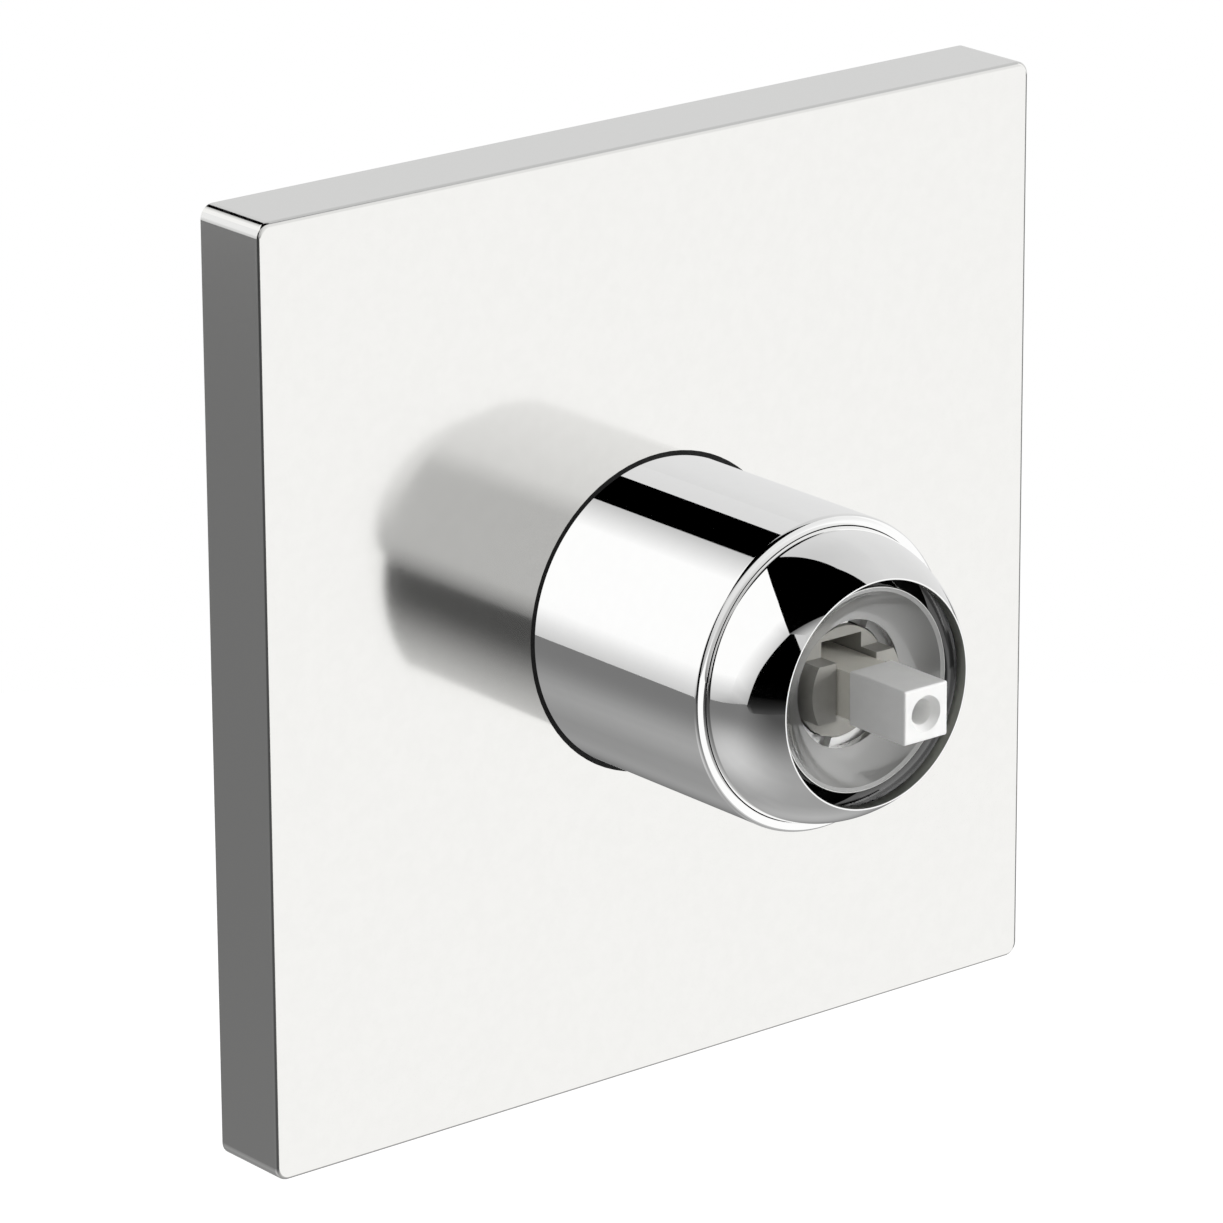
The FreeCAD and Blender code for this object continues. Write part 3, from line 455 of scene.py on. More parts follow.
def room_floor_material():
    """White paint, with a glow that grows from the middle outwards."""
    material, tree = bare_material("room_floor")
    paint = tree.nodes.new("ShaderNodeBsdfDiffuse")
    paint.inputs["Color"].default_value = room_floor_paint
    x, y, z = place(tree)
    away = math_node(tree, "SQRT", sum_of_squares(tree, x, y))
    glow = tree.nodes.new("ShaderNodeEmission")
    tree.links.new(mapped(tree, away, room_floor_fade, room_floor_glow), glow.inputs["Strength"])
    lit = tree.nodes.new("ShaderNodeAddShader")
    tree.links.new(paint.outputs[0], lit.inputs[0])
    tree.links.new(glow.outputs[0], lit.inputs[1])
    out = tree.nodes.new("ShaderNodeOutputMaterial")
    mix_by_path(tree, paint.outputs[0], lit.outputs[0], out)
    return material


def make_room_floor():
    points = []
    for angle in full_turn(room_floor_steps):
        x, y = room_floor_r * math.cos(angle), room_floor_r * math.sin(angle)
        points.append((x, y, room_floor_height))
    floor = mesh_object("room_floor", points, [list(range(room_floor_steps))], smooth=False)
    floor.data.materials.append(room_floor_material())
    floor.visible_glossy = False


# Turned pieces. A strip is a run of (radius, y, normal outwards, normal along y), in mm.
around_count = 360
ring_digits = 5


def straight(start, end, normal):
    return [(*start, *normal), (*end, *normal)]


def bend(centre, radius, start_deg, end_deg, steps, hollow=False):
    """An arc. Nought degrees is straight out, 90 degrees is towards the room."""
    strip = []
    for angle in steps_between(math.radians(start_deg), math.radians(end_deg), steps):
        out, along = math.cos(angle), -math.sin(angle)
        sign = -1 if hollow else 1
        strip.append((centre[0] + radius * out, centre[1] + radius * along, sign * out, sign * along))
    return strip


def joined(first, strip):
    """A strip moved to start where the first one ends."""
    out, along = first[-1][0] - strip[0][0], first[-1][1] - strip[0][1]
    return [(radius + out, y + along, *normal) for radius, y, *normal in strip]


def turned(name, strips):
    """A closed turned body about the y axis, with the true normal at each corner of a face."""
    turns = [(math.cos(angle), math.sin(angle)) for angle in full_turn(around_count)]
    places = {}
    points, faces, normals = [], [], []

    def ring_of(radius, y):
        key = (round(radius, ring_digits), round(y, ring_digits))
        if key not in places:
            places[key] = len(points)
            points.extend((radius * c * MM, y * MM, radius * s * MM) for c, s in turns)
        return places[key]

    for strip in strips:
        for near, far in zip(strip, strip[1:]):
            a, b = ring_of(*near[:2]), ring_of(*far[:2])
            for i in range(around_count):
                j = (i + 1) % around_count
                corners = [(a + i, near, i), (a + j, near, j), (b + j, far, j), (b + i, far, i)]
                faces.append([corner[0] for corner in corners])
                normals.extend((n[2] * turns[k][0], n[3], n[2] * turns[k][1]) for p, n, k in corners)
    piece = mesh_object(name, points, faces)
    piece.data.normals_split_custom_set(normals)
    return piece


# Sleeve with a thin rounded lip at the seam, in mm
sleeve_r = 27.97
sleeve_bore_r = 26.27
sleeve_back_y = -7.0
sleeve_edge_y = -58.9
sleeve_edge_r = 1.2
sleeve_edge_degs = (8.0, 42.0)
sleeve_edge_steps = 8
sleeve_corner_r = 0.1
sleeve_corner_steps = 4
sleeve_lip_r = 2.2
sleeve_lip_degs = (64.0, 104.0)
sleeve_lip_steps = 12
sleeve_lip_edge = 0.06
sleeve_lip_depth = 0.41


def make_sleeve(material):
    back = sleeve_back_y
    corner_degs = (sleeve_edge_degs[1], sleeve_lip_degs[0])
    side = straight((sleeve_r, back), (sleeve_r, sleeve_edge_y), (1, 0))
    edge = joined(side, bend((0, 0), sleeve_edge_r, *sleeve_edge_degs, sleeve_edge_steps))
    corner = joined(edge, bend((0, 0), sleeve_corner_r, *corner_degs, sleeve_corner_steps))
    lip = joined(corner, bend((0, 0), sleeve_lip_r, *sleeve_lip_degs, sleeve_lip_steps))
    lip_r, lip_y = lip[-1][:2]
    lip_end = (lip_r, lip_y + sleeve_lip_edge)
    bore_start = (sleeve_bore_r, lip_y + sleeve_lip_depth)
    slope = (bore_start[0] - lip_end[0], bore_start[1] - lip_end[1])
    steep = math.hypot(*slope)
    piece = turned("trim_sleeve", [
        straight((sleeve_bore_r, back), (sleeve_r, back), (0, 1)),
        side,
        edge,
        corner,
        lip,
        straight((lip_r, lip_y), lip_end, (-1, 0)),
        straight(lip_end, bore_start, (-slope[1] / steep, slope[0] / steep)),
        straight(bore_start, (sleeve_bore_r, back), (-1, 0)),
    ])
    finish_piece(piece, material, "chrome", "sleeve")


# Ball-shaped cap with a round mouth, in mm
cap_r = 26.17
cap_bore_r = 24.57
cap_centre_y = -56.91
cap_mouth_r = 20.24
cap_lip = 0.25
cap_skirt_y = -44.91
cap_outside_steps = 60
cap_inside_steps = 40


def make_cap(material):
    hole_r = cap_mouth_r - cap_lip
    mouth_deg = math.degrees(math.acos(cap_mouth_r / cap_r))
    inner_deg = math.degrees(math.acos(hole_r / cap_bore_r))
    mouth_y = cap_centre_y - cap_r * math.sin(math.radians(mouth_deg))
    hole_y = cap_centre_y - cap_bore_r * math.sin(math.radians(inner_deg))
    centre = (0.0, cap_centre_y)
    piece = turned("trim_cap", [
        straight((cap_bore_r, cap_skirt_y), (cap_r, cap_skirt_y), (0, 1)),
        straight((cap_r, cap_skirt_y), (cap_r, cap_centre_y), (1, 0)),
        bend(centre, cap_r, 0, mouth_deg, cap_outside_steps),
        straight((cap_mouth_r, mouth_y), (hole_r, mouth_y), (0, -1)),
        straight((hole_r, mouth_y), (hole_r, hole_y), (-1, 0)),
        bend(centre, cap_bore_r, inner_deg, 0, cap_inside_steps, hollow=True),
        straight((cap_bore_r, cap_centre_y), (cap_bore_r, cap_skirt_y), (-1, 0)),
    ])
    finish_piece(piece, material, "chrome", "dome_cap")


# Facing of the nut's dish, in mm
dish_centre = (8.25, -76.89)
dish_r = 11.18
dish_back_r = 11.41
dish_degs = (-36.9, -74.2)
dish_steps = 24
dish_rim_centre = (17.93, -70.30)
dish_rim_r = 0.15
dish_rim_deg = 111.0
dish_rim_steps = 8
dish_foot = (18.0, -69.8)


def make_nut_dish(material):
    """A thin dish facing over the nut, with a round rim."""
    dish = bend(dish_centre, dish_r, *dish_degs, dish_steps, hollow=True)
    back = bend(dish_centre, dish_back_r, *reversed(dish_degs), dish_steps)
    rim = bend(dish_rim_centre, dish_rim_r, 0, dish_rim_deg, dish_rim_steps)
    land_normal = rim[-1][2:]
    piece = turned("nut_dish", [
        back,
        straight(back[-1][:2], dish_foot, (0, 1)),
        straight(dish_foot, rim[0][:2], (1, 0)),
        rim,
        straight(rim[-1][:2], dish[0][:2], land_normal),
        dish,
        straight(dish[-1][:2], back[0][:2], (-1, 0)),
    ])
    finish_piece(piece, material, "nut_chrome")


# Flanged seal where the sleeve leaves the plate, in mm
seal_r = 28.92
seal_bore_r = 28.0
seal_front_y = -16.05
seal_back_y = -11.5
seal_flange_r = 32.32
seal_flange_y = -13.5
seal_edge_r = 0.2
seal_edge_steps = 6


def make_sleeve_seal(material):
    front, back, edge = seal_front_y, seal_back_y, seal_edge_r
    piece = turned("sleeve_ring", [
        straight((seal_bore_r, back), (seal_flange_r, back), (0, 1)),
        straight((seal_flange_r, back), (seal_flange_r, seal_flange_y), (1, 0)),
        straight((seal_flange_r, seal_flange_y), (seal_r, seal_flange_y), (0, -1)),
        straight((seal_r, seal_flange_y), (seal_r, front + edge), (1, 0)),
        bend((seal_r - edge, front + edge), edge, 0, 90, seal_edge_steps),
        straight((seal_r - edge, front), (seal_bore_r, front), (0, -1)),
        straight((seal_bore_r, front), (seal_bore_r, back), (-1, 0)),
    ])
    piece.visible_glossy = False
    finish_piece(piece, material, "black_rubber", "sleeve_seal")


# Lofted pieces. An axis has its start, its way and its side, in mm.
turn_steps = 48
thread_rows_per_turn = 10
sharp_deg = 38.0


def face_outwards(mesh):
    shape = bmesh.new()
    shape.from_mesh(mesh)
    bmesh.ops.recalc_face_normals(shape, faces=shape.faces)
    shape.to_mesh(mesh)
    shape.free()


def lofted(name, bodies, closed=False):
    """Bodies through equal rings of points, closed on themselves or by a flat face at each end."""
    points, faces = [], []
    for rings in bodies:
        start, count, last = len(points), len(rings[0]), len(rings) - 1
        points.extend(Vector(point) * MM for ring in rings for point in ring)
        for r in range(len(rings) if closed else last):
            a, b = start + r * count, start + (r + 1) % len(rings) * count
            for i in range(count):
                j = (i + 1) % count
                faces.append([a + i, a + j, b + j, b + i])
        if not closed:
            faces.append([start + i for i in reversed(range(count))])
            faces.append([start + last * count + i for i in range(count)])
    piece = mesh_object(name, points, faces)
    face_outwards(piece.data)
    piece.data.set_sharp_from_angle(angle=math.radians(sharp_deg))
    return piece


def around(axis, along, radius_at):
    """A ring about an axis, whose radius is given for each angle."""
    start, way, side = axis
    up = way.cross(side)
    ring = []
    for angle in full_turn(turn_steps):
        out = side * math.cos(angle) + up * math.sin(angle)
        ring.append(start + way * along + out * radius_at(angle))
    return ring


def round_ring(axis, along, radius):
    return around(axis, along, lambda angle: radius)


def thread_lift(along, angle, pitch, share):
    """Nought at the thread's root and one at its crest. The flanks take a share of the pitch."""
    phase = (along / pitch - angle / (2 * math.pi)) % 1
    return max(0.0, 1 - abs(phase - 0.5) / (share / 2))


# Wall screws with a round head, a cross recess and a thread that ends in a point, in mm
screw_circle_r = 42.0
screw_turns_deg = (45, 135, 225, 315)
screw_head_front = -6.8
screw_head_back = -4.0
screw_head_r = 4.6
screw_head_edge_r = 0.9
screw_head_edge_steps = 6
screw_recess_reach = 2.8
screw_recess_depth = 1.4
screw_recess_taper = 0.72
screw_recess_arm_deg = 90
screw_recess_corner_deg = 15.0
screw_recess_corner_slack_deg = 0.01
screw_shank_r = 2.0
screw_shank_end = -0.2
screw_core_r = 1.75
screw_crest_r = 2.4
screw_pitch = 1.6
screw_flank_share = 0.6
screw_thread_end = 22.0
screw_point_end = 25.0
screw_point_share = 0.3


def recess_radius(angle):
    """The outline of a cross recess, as a radius for each angle."""
    half_arm = screw_recess_arm_deg / 2
    off = abs((math.degrees(angle) + half_arm) % screw_recess_arm_deg - half_arm)
    half_width = screw_recess_reach * math.tan(math.radians(screw_recess_corner_deg))
    if off <= screw_recess_corner_deg + screw_recess_corner_slack_deg:
        return screw_recess_reach / math.cos(math.radians(off))
    return half_width / math.sin(math.radians(off))


def screw_head_rings(axis):
    head_edge = screw_head_front + screw_head_edge_r
    recess_floor = screw_head_front + screw_recess_depth
    rings = [
        around(axis, recess_floor, lambda angle: recess_radius(angle) * screw_recess_taper),
        around(axis, screw_head_front, recess_radius)]
    for angle_deg in steps_between(90, 0, screw_head_edge_steps):
        rise = math.radians(angle_deg)
        out = screw_head_r - screw_head_edge_r * (1 - math.cos(rise))
        rings.append(round_ring(axis, head_edge - screw_head_edge_r * math.sin(rise), out))
    rings.append(round_ring(axis, screw_head_back, screw_head_r))
    return rings


def screw_thread_rings(axis):
    rings = [
        round_ring(axis, screw_head_back, screw_shank_r),
        round_ring(axis, screw_shank_end, screw_shank_r)]
    rows = round(screw_point_end / screw_pitch * thread_rows_per_turn)
    for along in steps_between(0, screw_point_end, rows):
        past = max(0.0, along - screw_thread_end) / (screw_point_end - screw_thread_end)
        share = 1 - past * (1 - screw_point_share)

        def radius_at(angle):
            lift = thread_lift(along, angle, screw_pitch, screw_flank_share)
            return share * (screw_core_r + (screw_crest_r - screw_core_r) * lift)

        rings.append(around(axis, along, radius_at))
    return rings


def make_wall_screws(material):
    bodies = []
    for turn_deg in screw_turns_deg:
        turn = math.radians(turn_deg)
        start = Vector((screw_circle_r * math.cos(turn), 0, screw_circle_r * math.sin(turn)))
        axis = (start, Vector((0, 1, 0)), Vector((1, 0, 0)))
        bodies.append(screw_head_rings(axis) + screw_thread_rings(axis))
    piece = lofted("wall_screws", bodies)
    piece.visible_glossy = False
    finish_piece(piece, material, "steel", "fixing_screws")


# Threads in the two inlets and the outlet, in mm
port_ways = (Vector((-1, 0, 0)), Vector((1, 0, 0)), Vector((0, 0, -1)))
port_axis_y = 24.0
port_thread_start = 34.2
port_thread_end = 46.9
port_root_r = 9.29
port_root_gap = 0.04
port_crest_r = 8.72
port_pitch = 1.81
port_flank_share = 0.92


def port_thread_rings(axis):
    rings = [
        round_ring(axis, port_thread_end, port_root_r),
        round_ring(axis, port_thread_start, port_root_r)]
    rows = round((port_thread_end - port_thread_start) / port_pitch * thread_rows_per_turn)
    for along in steps_between(port_thread_start, port_thread_end, rows):

        def radius_at(angle):
            lift = thread_lift(along, angle, port_pitch, port_flank_share)
            return port_root_r - port_root_gap - (port_root_r - port_crest_r) * lift

        rings.append(around(axis, along, radius_at))
    return rings


def make_port_threads(material):
    start, side = Vector((0, port_axis_y, 0)), Vector((0, 1, 0))
    bodies = [port_thread_rings((start, way, side)) for way in port_ways]
    piece = lofted("port_threads", bodies, closed=True)
    piece.visible_glossy = False
    finish_piece(piece, material, "brass")


# Springs of the check valves, in mm. The real springs shorten as the poppets lift; these keep one
# length.
coil_seat_x = 20.5
coil_head_x = 27.9
coil_end_gap = 0.05
coil_r = 2.9
coil_wire_r = 0.3
coil_turns = 6
coil_steps_per_turn = 40
coil_wire_steps = 12


def coil_rings(sign):
    """Rings round a wire that winds about a port's axis, from its seat to the poppet's head."""
    start = coil_seat_x + coil_wire_r + coil_end_gap
    pitch = (coil_head_x - coil_wire_r - coil_end_gap - start) / coil_turns
    rings = []
    for turn in steps_between(0, coil_turns, coil_turns * coil_steps_per_turn):
        angle = 2 * math.pi * turn
        out = Vector((0, math.cos(angle), math.sin(angle)))
        way = Vector((pitch / (2 * math.pi), -coil_r * math.sin(angle), coil_r * math.cos(angle)))
        side = way.normalized().cross(out)
        centre = Vector((start + pitch * turn, 0, 0)) + out * coil_r
        ring = []
        for wire_angle in full_turn(coil_wire_steps):
            point = centre + (out * math.cos(wire_angle) + side * math.sin(wire_angle)) * coil_wire_r
            ring.append((sign * point.x, sign * point.y + port_axis_y, point.z))
        rings.append(ring)
    return rings


def make_coil(side, sign, material):
    piece = lofted(side + "_coil", [coil_rings(sign)])
    piece.visible_glossy = False
    finish_piece(piece, material, "steel", side + "_check_spring")
    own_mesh(piece)


# Foam strip inside the plate's rim, in mm
strip_middle = 80.75
strip_half_width = 1.75
strip_depth = 4.0
strip_corner_r = 1.0
strip_corner_growth = 0.2
strip_profile_steps = 28
strip_corner_steps = 6
strip_squareness = 3.2


def square_loop(half, corner_r, y):
    """A square with round corners, seen along the y axis."""
    centre = half - corner_r
    loop = []
    for quarter, (sign_x, sign_z) in enumerate(((1, 1), (-1, 1), (-1, -1), (1, -1))):
        for angle_deg in steps_between(90 * quarter, 90 * quarter + 90, strip_corner_steps):
            angle = math.radians(angle_deg)
            loop.append((sign_x * centre + corner_r * math.cos(angle), y,
                         sign_z * centre + corner_r * math.sin(angle)))
    return loop


def swollen(value):
    """A sine or cosine made squarer, for a full round profile."""
    return math.copysign(abs(value) ** (2 / strip_squareness), value)


def make_foam_strip(material):
    loops = []
    for angle in full_turn(strip_profile_steps):
        out = strip_half_width * swollen(math.cos(angle))
        y = -strip_depth / 2 + strip_depth / 2 * swollen(math.sin(angle))
        corner_r = strip_corner_r + strip_corner_growth * (out + strip_half_width)
        loops.append(square_loop(strip_middle + out, corner_r, y))
    piece = lofted("foam_strip", [loops], closed=True)
    piece.visible_glossy = False
    finish_piece(piece, material, "seal_foam", "wall_seal")


# Materials. Grains are in features per metre. Tints and roughness run from low to high with the noise.
noise_span = (0.3, 0.7)
tint_span = (0.35, 0.65)
usual_detail = 3.0
smooth_detail = 0.0
metal_grain = 400
metal_rough_ratio = 2.5
metal_bump_grain = 3000
metal_bump_depth = 0.05 * MM
plastic_grain = 300
plastic_rough_ratio = 3
plastic_bumps = 0.1
plastic_bump_grain = 4000
plastic_bump_depth = 0.03 * MM


def new_material(name, metallic=0.0):
    material = bpy.data.materials.new(name)
    material.use_nodes = True
    shader = material.node_tree.nodes["Principled BSDF"]
    shader.inputs["Metallic"].default_value = metallic
    return material, material.node_tree, shader


def noise(tree, grain, detail=usual_detail):
    """Noise over the object's own coordinates."""
    coordinates = tree.nodes.new("ShaderNodeTexCoord")
    texture = tree.nodes.new("ShaderNodeTexNoise")
    texture.inputs["Scale"].default_value = grain
    texture.inputs["Detail"].default_value = detail
    tree.links.new(coordinates.outputs["Object"], texture.inputs["Vector"])
    return texture.outputs["Fac"]


def spread(tree, grain, span, detail=usual_detail):
    """A value that runs over a span with the noise."""
    return mapped(tree, noise(tree, grain, detail), noise_span, span)


def tint(tree, grain, tints, detail=usual_detail):
    """A colour that runs between two tints with the noise."""
    ramp = tree.nodes.new("ShaderNodeValToRGB")
    for element, position, colour in zip(ramp.color_ramp.elements, tint_span, tints):
        element.position = position
        element.color = (*colour, 1)
    tree.links.new(noise(tree, grain, detail), ramp.inputs["Fac"])
    return ramp.outputs["Color"]


def relief(tree, shader, height, strength, depth):
    bump = tree.nodes.new("ShaderNodeBump")
    bump.inputs["Strength"].default_value = strength
    bump.inputs["Distance"].default_value = depth
    tree.links.new(height, bump.inputs["Height"])
    tree.links.new(bump.outputs["Normal"], shader.inputs["Normal"])


def metal(name, tints, rough, grain=metal_grain, bumps=0.0):
    material, tree, shader = new_material(name, metallic=1.0)
    tree.links.new(tint(tree, grain, tints), shader.inputs["Base Color"])
    tree.links.new(spread(tree, grain * metal_rough_ratio, rough), shader.inputs["Roughness"])
    if bumps:
        relief(tree, shader, noise(tree, metal_bump_grain), bumps, metal_bump_depth)
    return material


def plastic(name, tints, rough, grain=plastic_grain, bumps=plastic_bumps, bump_grain=plastic_bump_grain):
    material, tree, shader = new_material(name)
    tree.links.new(tint(tree, grain, tints), shader.inputs["Base Color"])
    tree.links.new(spread(tree, grain * plastic_rough_ratio, rough), shader.inputs["Roughness"])
    relief(tree, shader, noise(tree, bump_grain), bumps, plastic_bump_depth)
    return material


# Chrome of the plate
plate_half = 85.0 * MM
plate_rim_edge = 0.4 * MM
plate_inside_half = 82.7 * MM
plate_inside_front = -13.7 * MM
plate_face_tints = ((0.893, 0.888, 0.868), (0.905, 0.90, 0.88))
# Painted shade: a darker tint for the plate's sides and the outer part of its front edge
plate_rim_painted_shade = (0.82, 0.82, 0.81)
plate_inside_tints = ((0.40, 0.40, 0.395), (0.47, 0.47, 0.465))
plate_inside_grain = 900
plate_rough = (0.09, 0.105)
plate_inside_rough = 0.38


def plate_chrome():
    """Polished face, a rim darkened with painted shade, and dull inside of the pressed plate."""
    material, tree, shader = new_material("plate_chrome", metallic=1.0)
    x, y, z = place(tree)
    reach = square_reach(tree, x, z)
    rim = math_node(tree, "GREATER_THAN", reach, plate_half - plate_rim_edge)
    behind = math_node(tree, "GREATER_THAN", y, plate_inside_front)
    within = math_node(tree, "LESS_THAN", reach, plate_inside_half)
    inside = math_node(tree, "MULTIPLY", behind, within)
    # The rim mask lays painted shade, a darker tint, over the sides and front edges
    outside = blend_colours(tree, rim, tint(tree, metal_grain, plate_face_tints), plate_rim_painted_shade)
    dull = tint(tree, plate_inside_grain, plate_inside_tints)
    tree.links.new(blend_colours(tree, inside, outside, dull), shader.inputs["Base Color"])
    rough = spread(tree, metal_grain * metal_rough_ratio, plate_rough)
    tree.links.new(blend_values(tree, inside, rough, plate_inside_rough), shader.inputs["Roughness"])
    return material


# Grey and chrome of the nut's dish
nut_rim_start = 17.88 * MM
nut_tints = ((0.285, 0.285, 0.279), (0.295, 0.295, 0.289))
nut_grain = 60
nut_rough = (0.15, 0.17)
nut_rough_grain = 90
nut_metallic = 0.05
nut_rim_tint = (0.80, 0.80, 0.79)
nut_rim_rough = 0.06
nut_rim_metallic = 1.0
nut_coat = 1.0
nut_coat_rough = 0.03
nut_coat_ior = 1.75


def nut_chrome():
    """Grey dish under a clear polish, with a chrome rim."""
    material, tree, shader = new_material("nut_chrome")
    x, y, z = place(tree)
    rim = math_node(tree, "GREATER_THAN", sum_of_squares(tree, x, z), nut_rim_start ** 2)
    dish = tint(tree, nut_grain, nut_tints, smooth_detail)
    tree.links.new(blend_colours(tree, rim, dish, nut_rim_tint), shader.inputs["Base Color"])
    rough = spread(tree, nut_rough_grain, nut_rough, smooth_detail)
    tree.links.new(blend_values(tree, rim, rough, nut_rim_rough), shader.inputs["Roughness"])
    tree.links.new(blend_values(tree, rim, nut_metallic, nut_rim_metallic), shader.inputs["Metallic"])
    shader.inputs["Coat Weight"].default_value = nut_coat
    shader.inputs["Coat Roughness"].default_value = nut_coat_rough
    shader.inputs["Coat IOR"].default_value = nut_coat_ior
    return material


# Chrome of the sleeve and the cap
polish_tints = ((0.98, 0.98, 0.975), (0.99, 0.99, 0.985))
polish_rough = (0.018, 0.03)
cap_inside_r = 25.4 * MM
# Painted shade: a near-black tint for the hollow inside the ball
cap_hollow_painted_shade = (0.03, 0.03, 0.03)
cap_inside_rough = 0.08
cap_hole_r = 20.0 * MM
cap_hole_tint = (0.52, 0.535, 0.50)
cap_hole_rough = 0.3


def cap_chrome():
    """Polished outside, grey hole wall, and painted shade darkening the hollow of the cap."""
    material, tree, shader = new_material("cap_chrome", metallic=1.0)
    x, y, z = place(tree)
    squares = sum_of_squares(tree, x, z)
    ahead = math_node(tree, "SUBTRACT", y, cap_centre_y * MM)
    ball = math_node(tree, "ADD", squares, math_node(tree, "MULTIPLY", ahead, ahead))
    in_ball = math_node(tree, "LESS_THAN", ball, cap_inside_r ** 2)
    in_hole = math_node(tree, "LESS_THAN", squares, cap_hole_r ** 2)
    inside = math_node(tree, "MAXIMUM", in_ball, in_hole)
    # The hollow inside the ball gets painted shade; the hole wall keeps its grey
    wall = blend_colours(tree, in_hole, cap_hollow_painted_shade, cap_hole_tint)
    bright = tint(tree, metal_grain, polish_tints)
    tree.links.new(blend_colours(tree, inside, bright, wall), shader.inputs["Base Color"])
    rough = spread(tree, metal_grain * metal_rough_ratio, polish_rough)
    dull = blend_values(tree, in_hole, cap_inside_rough, cap_hole_rough)
    tree.links.new(blend_values(tree, inside, rough, dull), shader.inputs["Roughness"])
    return material


# Plastic of the stem
stem_neck_y = -71.8 * MM
stem_end_tints = ((0.90, 0.90, 0.89), (0.93, 0.93, 0.92))
stem_neck_tints = ((0.80, 0.78, 0.71), (0.84, 0.82, 0.75))
stem_rough = (0.32, 0.4)


def stem_plastic():
    """White square end, and a beige neck where the stem enters its guide."""
    material, tree, shader = new_material("stem_plastic")
    x, y, z = place(tree)
    neck = math_node(tree, "GREATER_THAN", y, stem_neck_y)
    end_tint = tint(tree, plastic_grain, stem_end_tints)
    beige = tint(tree, plastic_grain, stem_neck_tints)
    tree.links.new(blend_colours(tree, neck, end_tint, beige), shader.inputs["Base Color"])
    rough = spread(tree, plastic_grain * plastic_rough_ratio, stem_rough)
    tree.links.new(rough, shader.inputs["Roughness"])
    relief(tree, shader, noise(tree, plastic_bump_grain), plastic_bumps, plastic_bump_depth)
    return material


# Brass of the valve
neck_start = -10.0 * MM
neck_tint = (0.10, 0.10, 0.10)
machined_start = 36.6 * MM
machined_front = 0.1 * MM
machined_tints = ((0.80, 0.60, 0.31), (0.85, 0.65, 0.35))
machined_grain = 700
machined_rough = (0.16, 0.22)
machined_rough_grain = 1200
cast_tints = ((0.66, 0.45, 0.20), (0.78, 0.56, 0.27))
cast_grain = 150
cast_detail = 6.0
cast_rough = (0.34, 0.48)
cast_bumps = 0.35
cast_bump_grain = 900
cast_bump_depth = 0.06 * MM


def cast_brass():
    """Cast brass, machined bright at the pipe ports, with a dark neck in front of the plate."""
    material, tree, shader = new_material("cast_brass", metallic=1.0)
    x, y, z = place(tree)
    neck = math_node(tree, "LESS_THAN", y, neck_start)
    at_ports = math_node(tree, "GREATER_THAN", square_reach(tree, x, z), machined_start)
    behind = math_node(tree, "GREATER_THAN", y, machined_front)
    machined = math_node(tree, "MULTIPLY", at_ports, behind)
    cast = tint(tree, cast_grain, cast_tints, cast_detail)
    body = blend_colours(tree, machined, cast, tint(tree, machined_grain, machined_tints))
    tree.links.new(blend_colours(tree, neck, body, neck_tint), shader.inputs["Base Color"])
    dull = spread(tree, cast_grain * metal_rough_ratio, cast_rough)
    bright = spread(tree, machined_rough_grain, machined_rough)
    tree.links.new(blend_values(tree, machined, dull, bright), shader.inputs["Roughness"])
    uncut = math_node(tree, "SUBTRACT", 1.0, machined)
    grains = math_node(tree, "MULTIPLY", noise(tree, cast_bump_grain), uncut)
    relief(tree, shader, grains, cast_bumps, cast_bump_depth)
    return material


# Steel and foam
steel_tints = ((0.58, 0.58, 0.57), (0.66, 0.66, 0.65))
steel_rough = (0.18, 0.28)
steel_grain = 500
steel_bumps = 0.05
foam_tints = ((0.02, 0.02, 0.02), (0.05, 0.05, 0.05))
foam_rough = (0.8, 0.95)
foam_grain = 2500
foam_bumps = 0.8

# Plain plastics, rubber and ceramic, with their tints and their roughness
plain_looks = {
    "white": ("white_plastic", ((0.84, 0.84, 0.83), (0.87, 0.87, 0.86)), (0.32, 0.4)),
    "guide": ("guide_plastic", ((0.30, 0.294, 0.272), (0.325, 0.319, 0.296)), (0.35, 0.45)),
    "grey": ("grey_plastic", ((0.20, 0.205, 0.21), (0.24, 0.245, 0.25)), (0.42, 0.52)),
    "check": ("check_plastic", ((0.42, 0.44, 0.46), (0.47, 0.49, 0.51)), (0.35, 0.45)),
    "rubber": ("black_rubber", ((0.003, 0.003, 0.003), (0.006, 0.006, 0.006)), (0.7, 0.85)),
    "ceramic": ("ceramic", ((0.72, 0.70, 0.66), (0.76, 0.74, 0.70)), (0.12, 0.18)),
}


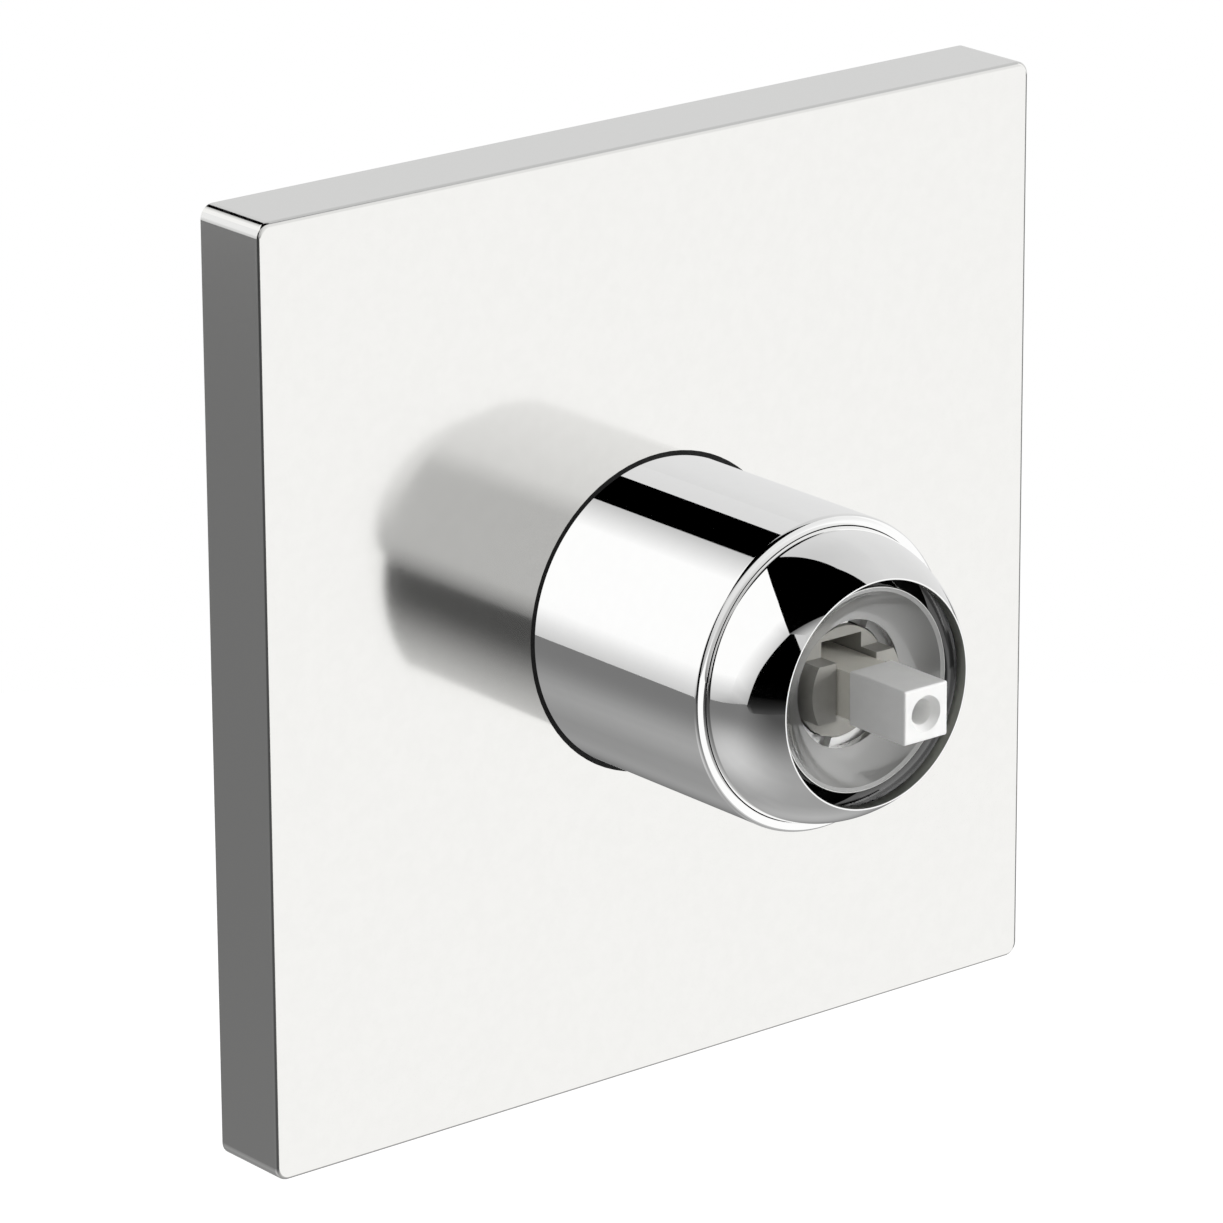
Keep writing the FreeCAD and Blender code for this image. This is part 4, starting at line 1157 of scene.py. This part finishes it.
def make_materials():
    looks = {
        "plate": plate_chrome(),
        "polish": metal("polished_chrome", polish_tints, polish_rough),
        "cap": cap_chrome(),
        "nut": nut_chrome(),
        "brass": cast_brass(),
        "steel": metal("steel", steel_tints, steel_rough, steel_grain, steel_bumps),
        "stem": stem_plastic(),
        "foam": plastic("seal_foam", foam_tints, foam_rough, foam_grain, foam_bumps, foam_grain),
    }
    for key, look in plain_looks.items():
        looks[key] = plastic(*look)
    return looks


nodes_of_material = {
    "plate": ["cover_plate"],
    "polish": ["sleeve", "dome_cap"],
    "nut": ["cartridge_nut"],
    "brass": ["valve_body", "outlet_plug"],
    "stem": ["stem"],
    "white": ["limit_ring"],
    "guide": ["lever_guide"],
    "grey": ["plate_carrier", "cartridge_housing", "cartridge_base", "disc_slider"],
    "check": ["hot_check_housing", "cold_check_housing", "hot_check_poppet", "cold_check_poppet"],
    "rubber": ["sleeve_seal", "neck_o_rings", "carrier_grommets", "base_seals", "plug_seal",
               "hot_check_seal", "cold_check_seal"],
    "foam": ["wall_seal"],
    "ceramic": ["fixed_disc", "moving_disc"],
    "steel": ["carrier_screws", "fixing_screws", "pivot_pin", "hot_check_spring", "cold_check_spring",
              "hot_strainer", "cold_strainer"],
}

# Mirrors show the trim in front of the plate, as in the photograph, and not what lies behind it.
trim_nodes = ["sleeve", "dome_cap", "sleeve_seal", "cartridge_nut", "limit_ring", "lever_guide", "stem"]


def dress_nodes(materials):
    for name, members in nodes_of_material.items():
        for node in members:
            nodes[node].data.materials.clear()
            nodes[node].data.materials.append(materials[name])
    for name, node in nodes.items():
        node.visible_glossy = name in trim_nodes


bpy.context.scene.view_settings.view_transform = "Standard"
make_camera()
make_world()
make_key_lamp()
make_cards()
materials = make_materials()
dress_nodes(materials)
make_sleeve(materials["polish"])
make_cap(materials["cap"])
make_nut_dish(materials["nut"])
make_sleeve_seal(materials["rubber"])
make_wall_screws(materials["steel"])
make_port_threads(materials["brass"])
make_coil("hot", -1, materials["steel"])
make_coil("cold", 1, materials["steel"])
make_foam_strip(materials["foam"])
make_room_floor()
